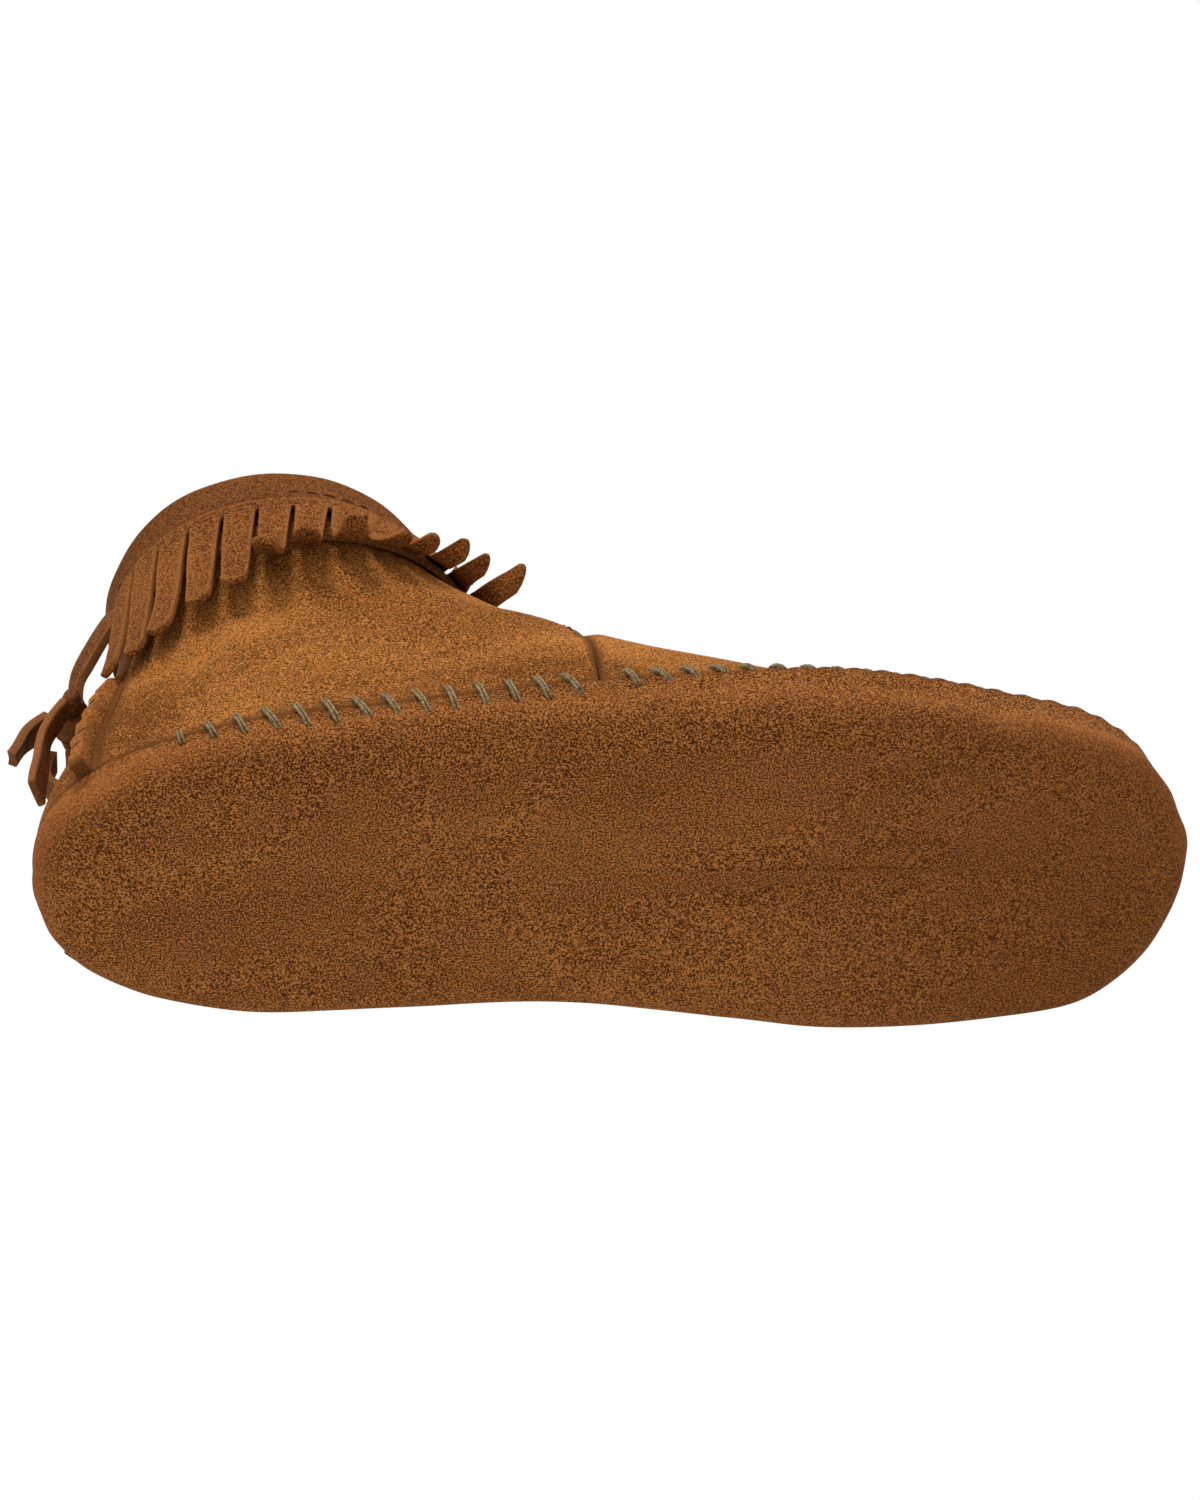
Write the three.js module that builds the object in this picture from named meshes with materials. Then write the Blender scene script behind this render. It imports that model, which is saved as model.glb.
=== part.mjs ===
// A right-foot ankle moccasin with a soft sole, a fringed collar and a thong tied behind the heel.
// Millimetres. +X points to the toe, +Y to the inner side of the foot and +Z up.
// The origin is on the ground, under the middle of the sole.

import * as THREE from 'three';

// ---------------------------------------------------------------- driving dimensions

// Foot: the outline is the widest line of the side wall, seen from above.
const SOLE_LENGTH = 256;
const HEEL_OUTER = 35.5;
const HEEL_INNER = 36.5;
const WAIST_OUTER = 43;
const WAIST_INNER = 36;
const BALL_OUTER = 42;
const BALL_INNER = 45;
const TOE_OUTER = 29.5;
const TOE_INNER = 38;

// Leather, footbed and the clearance between pieces that touch.
const SUEDE = 1.6;
const BINDING = 1.2;
const FOAM = 4;
const INSOLE = 1.4;
const GAP = 0.3;
const SEAM_CLEARANCE = 0.6;
const MITRE = 0.06;

// Bottom piece: a flat sole that rolls up into a side wall.
const EDGE_RADIUS = 9;
const SEAM_HEIGHT_HEEL = 13;
const SEAM_HEIGHT_TOE = 22;
const SEAM_INSET_SIDE = 0.6;
const SEAM_INSET_TOE = 3.5;

// Ankle opening.
const RIM_HEIGHT = 111;
const RIM_RADIUS = 37.4;
const RIM_X = -71;
const RIM_SPREAD = 1.6;

// Quarter front edge, where it laps over the plug, and the two back seams.
const LAP_START_X = -4;
const LAP_CROWN_X = -14;
const LAP_WIDTH = 8;
const CORNER_SHARE = 0.004;
const EDGE_SHARE = 0.012;
const PLUG_DROP = SUEDE + GAP;
const DIP_RUN = 7;
const BACK_PANEL_SHARE = 0.045;
const FLANGE_HEIGHT = 4.5;
const FLANGE_BELOW_RIM = 50;
const FLANGE_FADE = 14;

// Collar binding and fringe.
const BINDING_DEPTH = 10;
const COLLAR_GAP = 0.6;
const FRINGE_GAP = 0.6;
const FRINGE_DROP = 11.5;
const FRINGE_HEADING = 5;
const FRINGE_ROW = 2;
const FRINGE_LENGTH = 40;
const FRINGE_THICKNESS = 1.5;
const FRINGE_BACK_ANGLE = 25;
const STRIP_COUNT = 27;
const SLIT_WIDTH = 0.6;
const STRIP_FLARE = 2;
const STRIP_CURL_SIDE = 5;
const STRIP_FLARE_INNER = 14;
const STRIP_LONGER_BACK = 6;
const STRIP_SHORTER_FRONT = 4;

// Thong: one strap that runs under the fringe and is tied in a bow behind the heel.
const THONG_WIDTH = 6.4;
const THONG_THICKNESS = 2.2;
const THONG_BELOW_HEADING = 5;
const THONG_EXIT_ANGLE = 24;
const THONG_DROP = FRINGE_DROP + FRINGE_HEADING + THONG_BELOW_HEADING + THONG_WIDTH / 2;
const KNOT_BELOW_RIM = 43;
const KNOT_STAND_OFF = 8;
const KNOT_WIDTH = 16;
const KNOT_DEPTH = 8;
const KNOT_RISE = 9;
const LANE_GAP = 0.9;
const LONG_TAIL_DROP = 36;
const SHORT_TAIL_DROP = 13;
const SHORT_TAIL_REACH = 8;
const BOW_DROP = 13;
const BOW_DEPTH = 5.5;
const BOW_BEHIND_KNOT = 2.5;

// Waxed thread.
const THREAD = 1;
const STITCH_PITCH = 6.6;
const STITCH_RISE = 2.6;
const STITCH_FALL = 2.4;
const BACK_STITCH_PITCH = 8;
const BACK_STITCH_SLANT = 1.3;
const LEAF_SHARE = 0.7;
const ROW_STITCH_PITCH = 8;
const LAP_STITCH_SHARE = 0.03;

// How finely the surfaces are cut.
const AROUND = Math.round(SOLE_LENGTH / 3.55);
const SIDE_COLUMNS = Math.round(SOLE_LENGTH / 23.2);
const UP = 6;

// ---------------------------------------------------------------- small helpers

const { lerp, clamp, smoothstep, degToRad } = THREE.MathUtils;

const vec = (x, y, z) => new THREE.Vector3(x, y, z);

const mix = (a, b, share) => a.clone().lerp(b, share);

const wrap = (t) => ((t % 1) + 1) % 1;

// A smooth value through [place, value] keys in rising order of place.
function keyed(place, keys) {
  const last = keys.length - 1;
  const next = clamp(keys.findIndex(([at]) => at >= place), 1, last);
  const [startAt, startValue] = keys[next - 1];
  const [endAt, endValue] = keys[next];
  return lerp(startValue, endValue, smoothstep(place, startAt, endAt));
}

// Collects the faces of one closed body.
class Skin {
  constructor() {
    this.corners = [];
  }

  triangle(a, b, c) {
    this.corners.push(a, b, c);
  }

  quad(a, b, c, d) {
    this.triangle(a, b, c);
    this.triangle(a, c, d);
  }

  // The two faces and the cut edges of a leather sheet. front and back are grids of points,
  // [column][row]. present says which cells are leather, and openRow leaves that edge for a cap.
  sheet(front, back, { closed = false, present = () => true, openRow = -1 } = {}) {
    const columns = front.length;
    const rows = front[0].length;
    const cellColumns = closed ? columns : columns - 1;
    const next = (i) => (i + 1) % columns;
    const filled = (i, j) => {
      const column = closed ? (i + cellColumns) % cellColumns : i;
      return column >= 0 && column < cellColumns && j >= 0 && j < rows - 1 && present(column, j);
    };
    for (let i = 0; i < cellColumns; i += 1) {
      for (let j = 0; j < rows - 1; j += 1) {
        if (!filled(i, j)) continue;
        const k = next(i);
        this.quad(front[i][j], front[k][j], front[k][j + 1], front[i][j + 1]);
        this.quad(back[i][j], back[i][j + 1], back[k][j + 1], back[k][j]);
        if (!filled(i - 1, j)) this.quad(front[i][j], front[i][j + 1], back[i][j + 1], back[i][j]);
        if (!filled(i + 1, j)) this.quad(front[k][j], back[k][j], back[k][j + 1], front[k][j + 1]);
        if (!filled(i, j - 1) && j !== openRow) {
          this.quad(front[i][j], back[i][j], back[k][j], front[k][j]);
        }
        if (!filled(i, j + 1)) {
          this.quad(front[i][j + 1], front[k][j + 1], back[k][j + 1], back[i][j + 1]);
        }
      }
    }
  }

  // A flat lid over a ring of points.
  cap(ring, flipped) {
    const contour = ring.map((point) => new THREE.Vector2(point.x, point.y));
    for (const [a, b, c] of THREE.ShapeUtils.triangulateShape(contour, [])) {
      if (flipped) this.triangle(ring[a], ring[c], ring[b]);
      else this.triangle(ring[a], ring[b], ring[c]);
    }
  }

  volume() {
    let sum = 0;
    for (let k = 0; k < this.corners.length; k += 3) {
      const [a, b, c] = this.corners.slice(k, k + 3);
      sum += a.dot(b.clone().cross(c)) / 6;
    }
    return sum;
  }

  geometry() {
    const inward = this.volume() < 0;
    const numbers = [];
    for (let k = 0; k < this.corners.length; k += 3) {
      const [a, b, c] = this.corners.slice(k, k + 3);
      for (const corner of inward ? [a, c, b] : [a, b, c]) numbers.push(...corner.toArray());
    }
    const shape = new THREE.BufferGeometry();
    shape.setAttribute('position', new THREE.Float32BufferAttribute(numbers, 3));
    shape.computeVertexNormals();
    return shape;
  }
}

// ---------------------------------------------------------------- the foot's surfaces

// Heel, outer side, toe, inner side: x as a share of the length, y from the half widths.
const outline = new THREE.CatmullRomCurve3(
  [
    [-0.498, 0],
    [-0.482, -0.4 * HEEL_OUTER],
    [-0.435, -0.72 * HEEL_OUTER],
    [-0.32, -HEEL_OUTER],
    [-0.18, -0.5 * (HEEL_OUTER + WAIST_OUTER)],
    [0, -WAIST_OUTER],
    [0.2, -BALL_OUTER],
    [0.34, -0.5 * (BALL_OUTER + TOE_OUTER)],
    [0.425, -TOE_OUTER],
    [0.478, -0.6 * TOE_OUTER],
    [0.5, 0.06 * TOE_INNER],
    [0.48, 0.58 * TOE_INNER],
    [0.425, TOE_INNER],
    [0.33, 0.5 * (BALL_INNER + TOE_INNER) + 2],
    [0.2, BALL_INNER],
    [0.08, 0.5 * (BALL_INNER + WAIST_INNER)],
    [-0.05, WAIST_INNER],
    [-0.2, 0.5 * (HEEL_INNER + WAIST_INNER) + 0.6],
    [-0.33, HEEL_INNER],
    [-0.435, 0.76 * HEEL_INNER],
    [-0.482, 0.44 * HEEL_INNER],
  ].map(([share, y]) => vec(share * SOLE_LENGTH, y, 0)),
  true,
  'centripetal',
);
outline.arcLengthDivisions = 1200;

// The widest line of the wall at t: 0 is the back of the heel and 0.5 the tip of the toe.
function wallAt(t) {
  const point = outline.getPointAt(wrap(t));
  const along = outline.getTangentAt(wrap(t));
  return { point, inward: vec(-along.y, along.x, 0) };
}

const towardToe = (x) => smoothstep(x / SOLE_LENGTH, -0.5, 0.5);

function seamPoint(t) {
  const { point, inward } = wallAt(t);
  const height = lerp(SEAM_HEIGHT_HEEL, SEAM_HEIGHT_TOE, towardToe(point.x));
  const toeShare = smoothstep(point.x / SOLE_LENGTH, 0.15, 0.48);
  const inset = lerp(SEAM_INSET_SIDE, SEAM_INSET_TOE, toeShare);
  return point.addScaledVector(inward, inset).setZ(height);
}

// The angle round the rim, from its back, that the rib at t runs up to.
function rimAngle(t) {
  const place = wrap(t);
  const half = place <= 0.5 ? place : 1 - place;
  const angle = Math.PI * (1 - (1 - 2 * half) ** RIM_SPREAD);
  return place <= 0.5 ? angle : 2 * Math.PI - angle;
}

// The t whose rib ends at this angle round the rim.
function ribAtAngle(angle) {
  const half = Math.min(angle, 2 * Math.PI - angle);
  const t = (1 - (1 - half / Math.PI) ** (1 / RIM_SPREAD)) / 2;
  return angle <= Math.PI ? t : 1 - t;
}

// How a rib leaves the seam and meets the rim, from the back (0) to the front (1) of the rim.
const LOWER_RISE = [[0, 20], [0.41, 26], [0.73, 19.5], [0.89, 15.5], [1, 12]];
const LOWER_LEAN = [[0, -1], [0.41, -1], [0.73, 3], [0.89, 26], [1, 68]];
const UPPER_DROP = [[0, 53], [0.41, 46], [0.73, 54], [0.89, 63], [1, 66]];
const UPPER_LEAN = [[0, -6], [0.41, -3], [0.73, 4], [0.89, 9], [1, 12]];

// How far the lean of the front ribs turns from square to the seam towards the rim.
const SIDE_PULL = 0.5;
const FRONT_PULL = 2;

// A rib is a curve on the upper, from the seam up to the rim.
function rib(t) {
  const angle = rimAngle(t);
  const front = Math.min(angle, 2 * Math.PI - angle) / Math.PI;
  const radial = vec(-Math.cos(angle), -Math.sin(angle), 0);
  const top = radial.clone().multiplyScalar(RIM_RADIUS).add(vec(RIM_X, 0, RIM_HEIGHT));
  const foot = seamPoint(t);
  const inward = wallAt(t).inward;
  const towardRim = vec(top.x - foot.x, top.y - foot.y, 0);
  const pull = Math.min(towardRim.length() / SOLE_LENGTH, SIDE_PULL)
    + FRONT_PULL * smoothstep(front, 0.75, 1);
  const lean = inward.addScaledVector(towardRim.normalize(), pull).normalize();
  const lower = foot.clone().addScaledVector(lean, keyed(front, LOWER_LEAN));
  lower.z += keyed(front, LOWER_RISE);
  const upper = top.clone().addScaledVector(radial, keyed(front, UPPER_LEAN));
  upper.z -= keyed(front, UPPER_DROP);
  return new THREE.CubicBezierCurve3(foot, lower, upper, top);
}

const ribs = new Map();

function ribFor(t) {
  const place = wrap(t);
  if (!ribs.has(place)) ribs.set(place, rib(place));
  return ribs.get(place);
}

// A point of the upper at t, a share v of the way up its rib, raised off the surface.
function upper(t, v, raise = 0) {
  const point = ribFor(t).getPoint(v);
  return raise === 0 ? point : point.addScaledVector(upperNormal(t, v), raise);
}

function upperNormal(t, v) {
  const step = 1e-3;
  const around = ribFor(t + step).getPoint(v).sub(ribFor(t - step).getPoint(v));
  const up = ribFor(t).getPoint(Math.min(v + step, 1)).sub(ribFor(t).getPoint(Math.max(v - step, 0)));
  return around.cross(up).normalize();
}

// The share of the way up the rib at t where test stops being true, found by halving.
function shareWhere(t, test) {
  let low = 0;
  let high = 1;
  for (let k = 0; k < 30; k += 1) {
    const middle = (low + high) / 2;
    if (test(ribFor(t).getPoint(middle))) low = middle;
    else high = middle;
  }
  return (low + high) / 2;
}

const shareAtHeight = (t, height) => shareWhere(t, (point) => point.z < height);

// The share of the way up the rib that lies this far below the rim along the leather.
function shareBelowRim(t, distance) {
  const curve = ribFor(t);
  return curve.getUtoTmapping(1 - distance / curve.getLength());
}

// ---------------------------------------------------------------- finishes

function leather(color, roughness = 0.95) {
  return new THREE.MeshStandardMaterial({ color, roughness, metalness: 0 });
}

const QUARTER_SUEDE = 0x9a602f;
const SOLE_SUEDE = 0x774620;
const TRIM_SUEDE = 0x814c22;
const PANEL_SUEDE = 0x925a2b;
const THONG_SUEDE = 0x6b4324;
const INSOLE_SUEDE = 0x8a5a34;
const FOAM_GREY = 0x4a4642;
const THREAD_OLIVE = 0x786946;

const moccasin = new THREE.Group();
moccasin.name = 'moccasin';

function add(name, geometry, material) {
  const mesh = new THREE.Mesh(geometry, material);
  mesh.name = name;
  moccasin.add(mesh);
  return mesh;
}

// ---------------------------------------------------------------- bottom and footbed

const columnPlaces = Array.from({ length: AROUND }, (_, i) => i / AROUND);

// One side of the bottom piece, thickness in from its outside.
function bottomColumn(t, thickness) {
  const { point, inward } = wallAt(t);
  const centre = point.clone().addScaledVector(inward, EDGE_RADIUS).setZ(EDGE_RADIUS);
  const radius = EDGE_RADIUS - thickness;
  const rolled = [0, 30, 60, 90].map(degToRad).map((turn) => {
    const reach = centre.clone().addScaledVector(inward, -radius * Math.sin(turn));
    return reach.setZ(EDGE_RADIUS - radius * Math.cos(turn));
  });
  return [...rolled, seamPoint(t).addScaledVector(inward, thickness)];
}

function makeBottom() {
  const outside = columnPlaces.map((t) => bottomColumn(t, 0));
  const inside = columnPlaces.map((t) => bottomColumn(t, SUEDE));
  const skin = new Skin();
  skin.sheet(outside, inside, { closed: true, openRow: 0 });
  skin.cap(outside.map((column) => column[0]), true);
  skin.cap(inside.map((column) => column[0]), false);
  add('bottom', skin.geometry(), leather(SOLE_SUEDE));
}

function footbedLayer(inset, low, thickness) {
  const shape = new THREE.Shape(columnPlaces.map((t) => {
    const { point, inward } = wallAt(t);
    point.addScaledVector(inward, inset);
    return new THREE.Vector2(point.x, point.y);
  }));
  const layer = new THREE.ExtrudeGeometry(shape, { depth: thickness, bevelEnabled: false });
  return layer.translate(0, 0, low);
}

function makeFootbed() {
  const foamLow = SUEDE + GAP;
  const insoleLow = foamLow + FOAM + GAP;
  const innerRadius = EDGE_RADIUS - SUEDE;
  const rollDepth = Math.max(EDGE_RADIUS - insoleLow, 0);
  const insoleInset = EDGE_RADIUS - Math.sqrt(innerRadius ** 2 - rollDepth ** 2) + 2 * GAP;
  add('foam_pad', footbedLayer(EDGE_RADIUS, foamLow, FOAM), leather(FOAM_GREY, 1));
  add('insole', footbedLayer(insoleInset, insoleLow, INSOLE), leather(INSOLE_SUEDE));
}

// ---------------------------------------------------------------- upper

const backOuter = BACK_PANEL_SHARE;
const backInner = 1 - BACK_PANEL_SHARE;

// Where the quarter's front edge crosses the rib at t: it laps over the plug in front of the ankle.
function lapShare(t) {
  const start = seamPoint(t);
  if (start.x <= LAP_START_X) return 0;
  const toToe = (start.x - LAP_START_X) / (SOLE_LENGTH / 2 - LAP_START_X);
  const edgeX = lerp(LAP_START_X, LAP_CROWN_X, smoothstep(toToe, 0, 0.7));
  return shareWhere(t, (point) => point.x > edgeX);
}

// The t on each side where the quarter's front edge meets the side seam.
function lapCorner(low, high) {
  let inside = low;
  let outside = high;
  for (let k = 0; k < 30; k += 1) {
    const middle = (inside + outside) / 2;
    if (seamPoint(middle).x < LAP_START_X) inside = middle;
    else outside = middle;
  }
  return (inside + outside) / 2;
}

const lapOuter = lapCorner(0.1, 0.5);
const lapInner = lapCorner(0.9, 0.5);

// The columns that the bottom piece, the plug and the quarter's front edge share.
const lapPlaces = [
  lapOuter + CORNER_SHARE,
  ...columnPlaces.filter((t) => t > lapOuter + 2 * CORNER_SHARE && t < lapInner - 2 * CORNER_SHARE),
  lapInner - CORNER_SHARE,
];

// A lift above the seam, so that the upper and the bottom piece stay clear.
const clearShare = (t, distance) => distance / ribFor(t).getLength();

// The rows of a piece that runs up into the collar: one at each edge of the thong that lies on it,
// and the last one under the collar.
const upRows = (t, low) => [
  ...spread(low, shareBelowRim(t, THONG_DROP + THONG_WIDTH / 2), UP - 3),
  shareBelowRim(t, THONG_DROP - THONG_WIDTH / 2),
  shareBelowRim(t, BINDING_DEPTH + 1),
  shareBelowRim(t, GAP),
];

// The turned-out back seams stand proud up to here, and fade into the leather above it.
const flangeFull = RIM_HEIGHT - FLANGE_BELOW_RIM - FLANGE_FADE;

// The height that the turned-out back seams stand proud.
function flangeHeight(z) {
  return Math.max(FLANGE_HEIGHT * (1 - smoothstep(z, flangeFull, flangeFull + FLANGE_FADE)), MITRE);
}

// The column of a sheet that ends in a turned-out flange. side is 1 where the flange is
// on the higher-t side of the sheet's edge and -1 on the lower-t side.
function flangeColumns(edge, leaf, rows) {
  const corner = rows.map((v) => upper(edge, v, -SUEDE));
  const foot = rows.map((v) => upper(leaf, v));
  const tipInside = rows.map((v) => upper(edge, v, flangeHeight(upper(edge, v).z)));
  const tipOutside = rows.map((v) => upper(leaf, v, flangeHeight(upper(edge, v).z)));
  return { corner, foot, tipInside, tipOutside };
}

// The change of t that moves this far along the leather near t.
function stepAlong(t, distance, share = 0.5) {
  const span = upper(t + 0.005, share).distanceTo(upper(t - 0.005, share));
  return (0.01 * distance) / span;
}

// The change of t that leaves the clearance at every height of the rib.
const gapAlong = (t) => Math.max(...[0.1, 0.5, 0.9].map((share) => stepAlong(t, GAP, share)));

function flangedSheet(places, rowsAt, lowEdge, highEdge) {
  const front = places.map((t) => rowsAt(t).map((v) => upper(t, v)));
  const back = places.map((t) => rowsAt(t).map((v) => upper(t, v, -SUEDE)));
  const lowLeaf = lowEdge + stepAlong(lowEdge, SUEDE);
  const highLeaf = highEdge - stepAlong(highEdge, SUEDE);
  const low = flangeColumns(lowEdge, lowLeaf, rowsAt(lowEdge));
  const high = flangeColumns(highEdge, highLeaf, rowsAt(highEdge));
  front.unshift(low.tipOutside, low.foot);
  back.unshift(low.tipInside, low.corner);
  front.push(high.foot, high.tipOutside);
  back.push(high.corner, high.tipInside);
  const skin = new Skin();
  skin.sheet(front, back);
  return skin.geometry();
}

const spread = (start, end, count) => (
  Array.from({ length: count + 1 }, (_, k) => lerp(start, end, k / count))
);

function makeQuarter() {
  const places = [
    ...spread(backOuter + EDGE_SHARE, lapOuter - CORNER_SHARE, SIDE_COLUMNS),
    ...lapPlaces,
    ...spread(lapInner + CORNER_SHARE, backInner - EDGE_SHARE, SIDE_COLUMNS),
  ];
  const rowsAt = (t) => {
    const low = Math.max(clearShare(t, GAP), lapShare(t));
    return upRows(t, low);
  };
  add('quarter', flangedSheet(places, rowsAt, backOuter, backInner), leather(QUARTER_SUEDE));
}

function makeBackPanel() {
  const lowEdge = backInner - 1 + gapAlong(backInner);
  const highEdge = backOuter - gapAlong(backOuter);
  const inset = stepAlong(0, SUEDE) + CORNER_SHARE;
  const rowsAt = (t) => upRows(t, clearShare(t, GAP));
  const places = spread(lowEdge + inset, highEdge - inset, 6);
  add('back_panel', flangedSheet(places, rowsAt, lowEdge, highEdge), leather(PANEL_SUEDE));
}

// The plug is flush with the wall along the seam, and dips to run on under the quarter's front edge.
function plugColumn(t) {
  const length = ribFor(t).getLength();
  const lap = lapShare(t);
  const dropAt = (v) => PLUG_DROP * smoothstep((v - lap) * length, -DIP_RUN, -GAP);
  const tilt = Math.max(upperNormal(t, 0).z, 0);
  const across = clamp(ribFor(t).getTangent(0).setZ(0).normalize().dot(wallAt(t).inward), 0.5, 1);
  const low = (SEAM_CLEARANCE + (SUEDE + dropAt(0)) * (tilt + 0.5)) / (length * across);
  const under = LAP_WIDTH * smoothstep(lap * length, 0, LAP_WIDTH);
  const high = Math.max(lap, low) + (GAP + under) / length;
  const rows = spread(low, Math.max(lap - GAP / length, low + MITRE / length), UP - 1);
  rows.push(high);
  return {
    front: rows.map((v) => upper(t, v, -dropAt(v))),
    back: rows.map((v) => upper(t, v, -dropAt(v) - SUEDE)),
  };
}

function makePlug() {
  const columns = lapPlaces.map(plugColumn);
  const skin = new Skin();
  skin.sheet(columns.map(({ front }) => front), columns.map(({ back }) => back));
  add('plug', skin.geometry(), leather(QUARTER_SUEDE));
}

// ---------------------------------------------------------------- collar and fringe

// A folded binding: down the outside, over the rim and down the inside.
function makeCollar() {
  const places = spread(0, 1, 48).slice(0, -1);
  const drops = [BINDING_DEPTH, BINDING_DEPTH / 2, 0];
  const line = (t, outside, inside, height) => [
    ...drops.map((s) => upper(t, shareBelowRim(t, s), outside).add(vec(0, 0, s > 0 ? 0 : height))),
    ...drops.toReversed().map((s) => (
      upper(t, shareBelowRim(t, s), -SUEDE - inside).add(vec(0, 0, s > 0 ? 0 : height))
    )),
  ];
  const outer = places.map((t) => line(t, COLLAR_GAP + BINDING, COLLAR_GAP + BINDING, BINDING));
  const inner = places.map((t) => line(t, COLLAR_GAP, COLLAR_GAP, 0));
  const skin = new Skin();
  skin.sheet(outer, inner, { closed: true });
  add('collar_band', skin.geometry(), leather(TRIM_SUEDE));
}

// How far the back of a strip stands off the quarter, s millimetres below the fringe's top edge.
function fringeRaise(angle, s) {
  const front = Math.min(angle, 2 * Math.PI - angle) / Math.PI;
  const overThong = (GAP + THONG_THICKNESS) * smoothstep(s, FRINGE_HEADING - 3, FRINGE_HEADING + 2);
  const free = smoothstep(s, FRINGE_HEADING + 6, FRINGE_HEADING + FRINGE_LENGTH);
  const curl = STRIP_CURL_SIDE * smoothstep(front, 0.2, 0.45) * (1 - smoothstep(front, 0.5, 0.75));
  const innerBack = angle > Math.PI ? STRIP_FLARE_INNER * (1 - smoothstep(front, 0.15, 0.4)) : 0;
  return FRINGE_GAP + overThong + (STRIP_FLARE + curl + innerBack) * free ** 1.5;
}

// A strip's length as a share of the usual one: longer at the back and shorter in front.
function stripLength(angle) {
  const front = Math.min(angle, 2 * Math.PI - angle) / Math.PI;
  const longer = STRIP_LONGER_BACK * (1 - smoothstep(front, 0.12, 0.35));
  const shorter = STRIP_SHORTER_FRONT * smoothstep(front, 0.5, 0.8);
  return (FRINGE_LENGTH + longer - shorter) / FRINGE_LENGTH;
}

// How far the face of the uncut heading stands off the quarter.
function headingFace(s) {
  const low = fringeRaise(Math.PI, FRINGE_HEADING);
  return lerp(fringeRaise(Math.PI, 0), low, s / FRINGE_HEADING) + FRINGE_THICKNESS;
}

function makeFringe() {
  const start = degToRad(FRINGE_BACK_ANGLE);
  const pitch = (2 * (Math.PI - start)) / STRIP_COUNT;
  const slit = SLIT_WIDTH / RIM_RADIUS;
  const angles = [];
  for (let k = 0; k < STRIP_COUNT; k += 1) {
    angles.push(start + k * pitch, start + (k + 1) * pitch - slit);
  }
  const drops = [0, FRINGE_HEADING, ...[0.1, 0.4, 0.7, 1].map((share) => (
    FRINGE_HEADING + share * FRINGE_LENGTH
  ))];
  const column = (angle, extra) => drops.map((s) => {
    const t = ribAtAngle(angle);
    const drop = FRINGE_HEADING + (s - FRINGE_HEADING) * stripLength(angle);
    const below = s > FRINGE_HEADING ? drop : s;
    return upper(t, shareBelowRim(t, FRINGE_DROP + below), fringeRaise(angle, s) + extra);
  });
  const skin = new Skin();
  skin.sheet(
    angles.map((angle) => column(angle, FRINGE_THICKNESS)),
    angles.map((angle) => column(angle, 0)),
    { present: (i, j) => i % 2 === 0 || j === 0 },
  );
  add('fringe_band', skin.geometry(), leather(TRIM_SUEDE));
}

// ---------------------------------------------------------------- thong

const thongMaterial = leather(THONG_SUEDE);

// A flat strap along points, its width along side and its thickness along the other way.
function strap(name, points, side) {
  const curve = new THREE.CatmullRomCurve3(points);
  const count = 4 * (points.length - 1);
  const half = side.clone().setLength(THONG_WIDTH / 2);
  const face = (reach) => spread(0, 1, count).map((share) => {
    const centre = curve.getPoint(share);
    const normal = curve.getTangent(share).cross(side).setLength(reach);
    return [centre.clone().add(half).add(normal), centre.clone().sub(half).add(normal)];
  });
  const skin = new Skin();
  skin.sheet(face(THONG_THICKNESS / 2), face(-THONG_THICKNESS / 2));
  add(name, skin.geometry(), thongMaterial.clone());
}

// The strap's run round the ankle, between the quarter and the fringe.
function makeThongRun() {
  const exit = degToRad(THONG_EXIT_ANGLE);
  const angles = spread(exit, 2 * Math.PI - exit, 40);
  const line = (raise) => angles.map((angle) => {
    const t = ribAtAngle(angle);
    return [-0.5, 0.5].map((share) => (
      upper(t, shareBelowRim(t, THONG_DROP + share * THONG_WIDTH), raise)
    ));
  });
  const skin = new Skin();
  skin.sheet(line(GAP + THONG_THICKNESS), line(GAP));
  add('thong_run', skin.geometry(), thongMaterial.clone());
}

const KNOT_HEIGHT = RIM_HEIGHT - KNOT_BELOW_RIM;
const backAt = (z) => upper(0, shareAtHeight(0, z));
const knotCentre = backAt(KNOT_HEIGHT).add(vec(-KNOT_STAND_OFF, 0, 0));

function makeKnot() {
  const knot = new THREE.SphereGeometry(0.5, 14, 10);
  knot.scale(KNOT_DEPTH, KNOT_WIDTH, KNOT_RISE);
  add('thong_knot', knot, thongMaterial.clone()).position.copy(knotCentre);
}

// A strand from the end of the run to the knot. side is -1 on the outer side and 1 on the inner.
function makeStrand(name, side) {
  const exit = degToRad(THONG_EXIT_ANGLE - 2);
  const t = ribAtAngle(side < 0 ? exit : 2 * Math.PI - exit);
  const share = shareBelowRim(t, THONG_DROP);
  const start = upper(t, share, GAP + THONG_THICKNESS / 2);
  const upward = ribFor(t).getTangent(share);
  const past = start.clone().add(vec(-4, -side * 1.5, -1));
  const end = knotCentre.clone().add(vec(0.5, side * (KNOT_WIDTH / 2 + GAP), 1.5));
  strap(name, [start, past, mix(past, end, 0.6).add(vec(-1.5, 0, 1)), end], upward);
}

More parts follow.
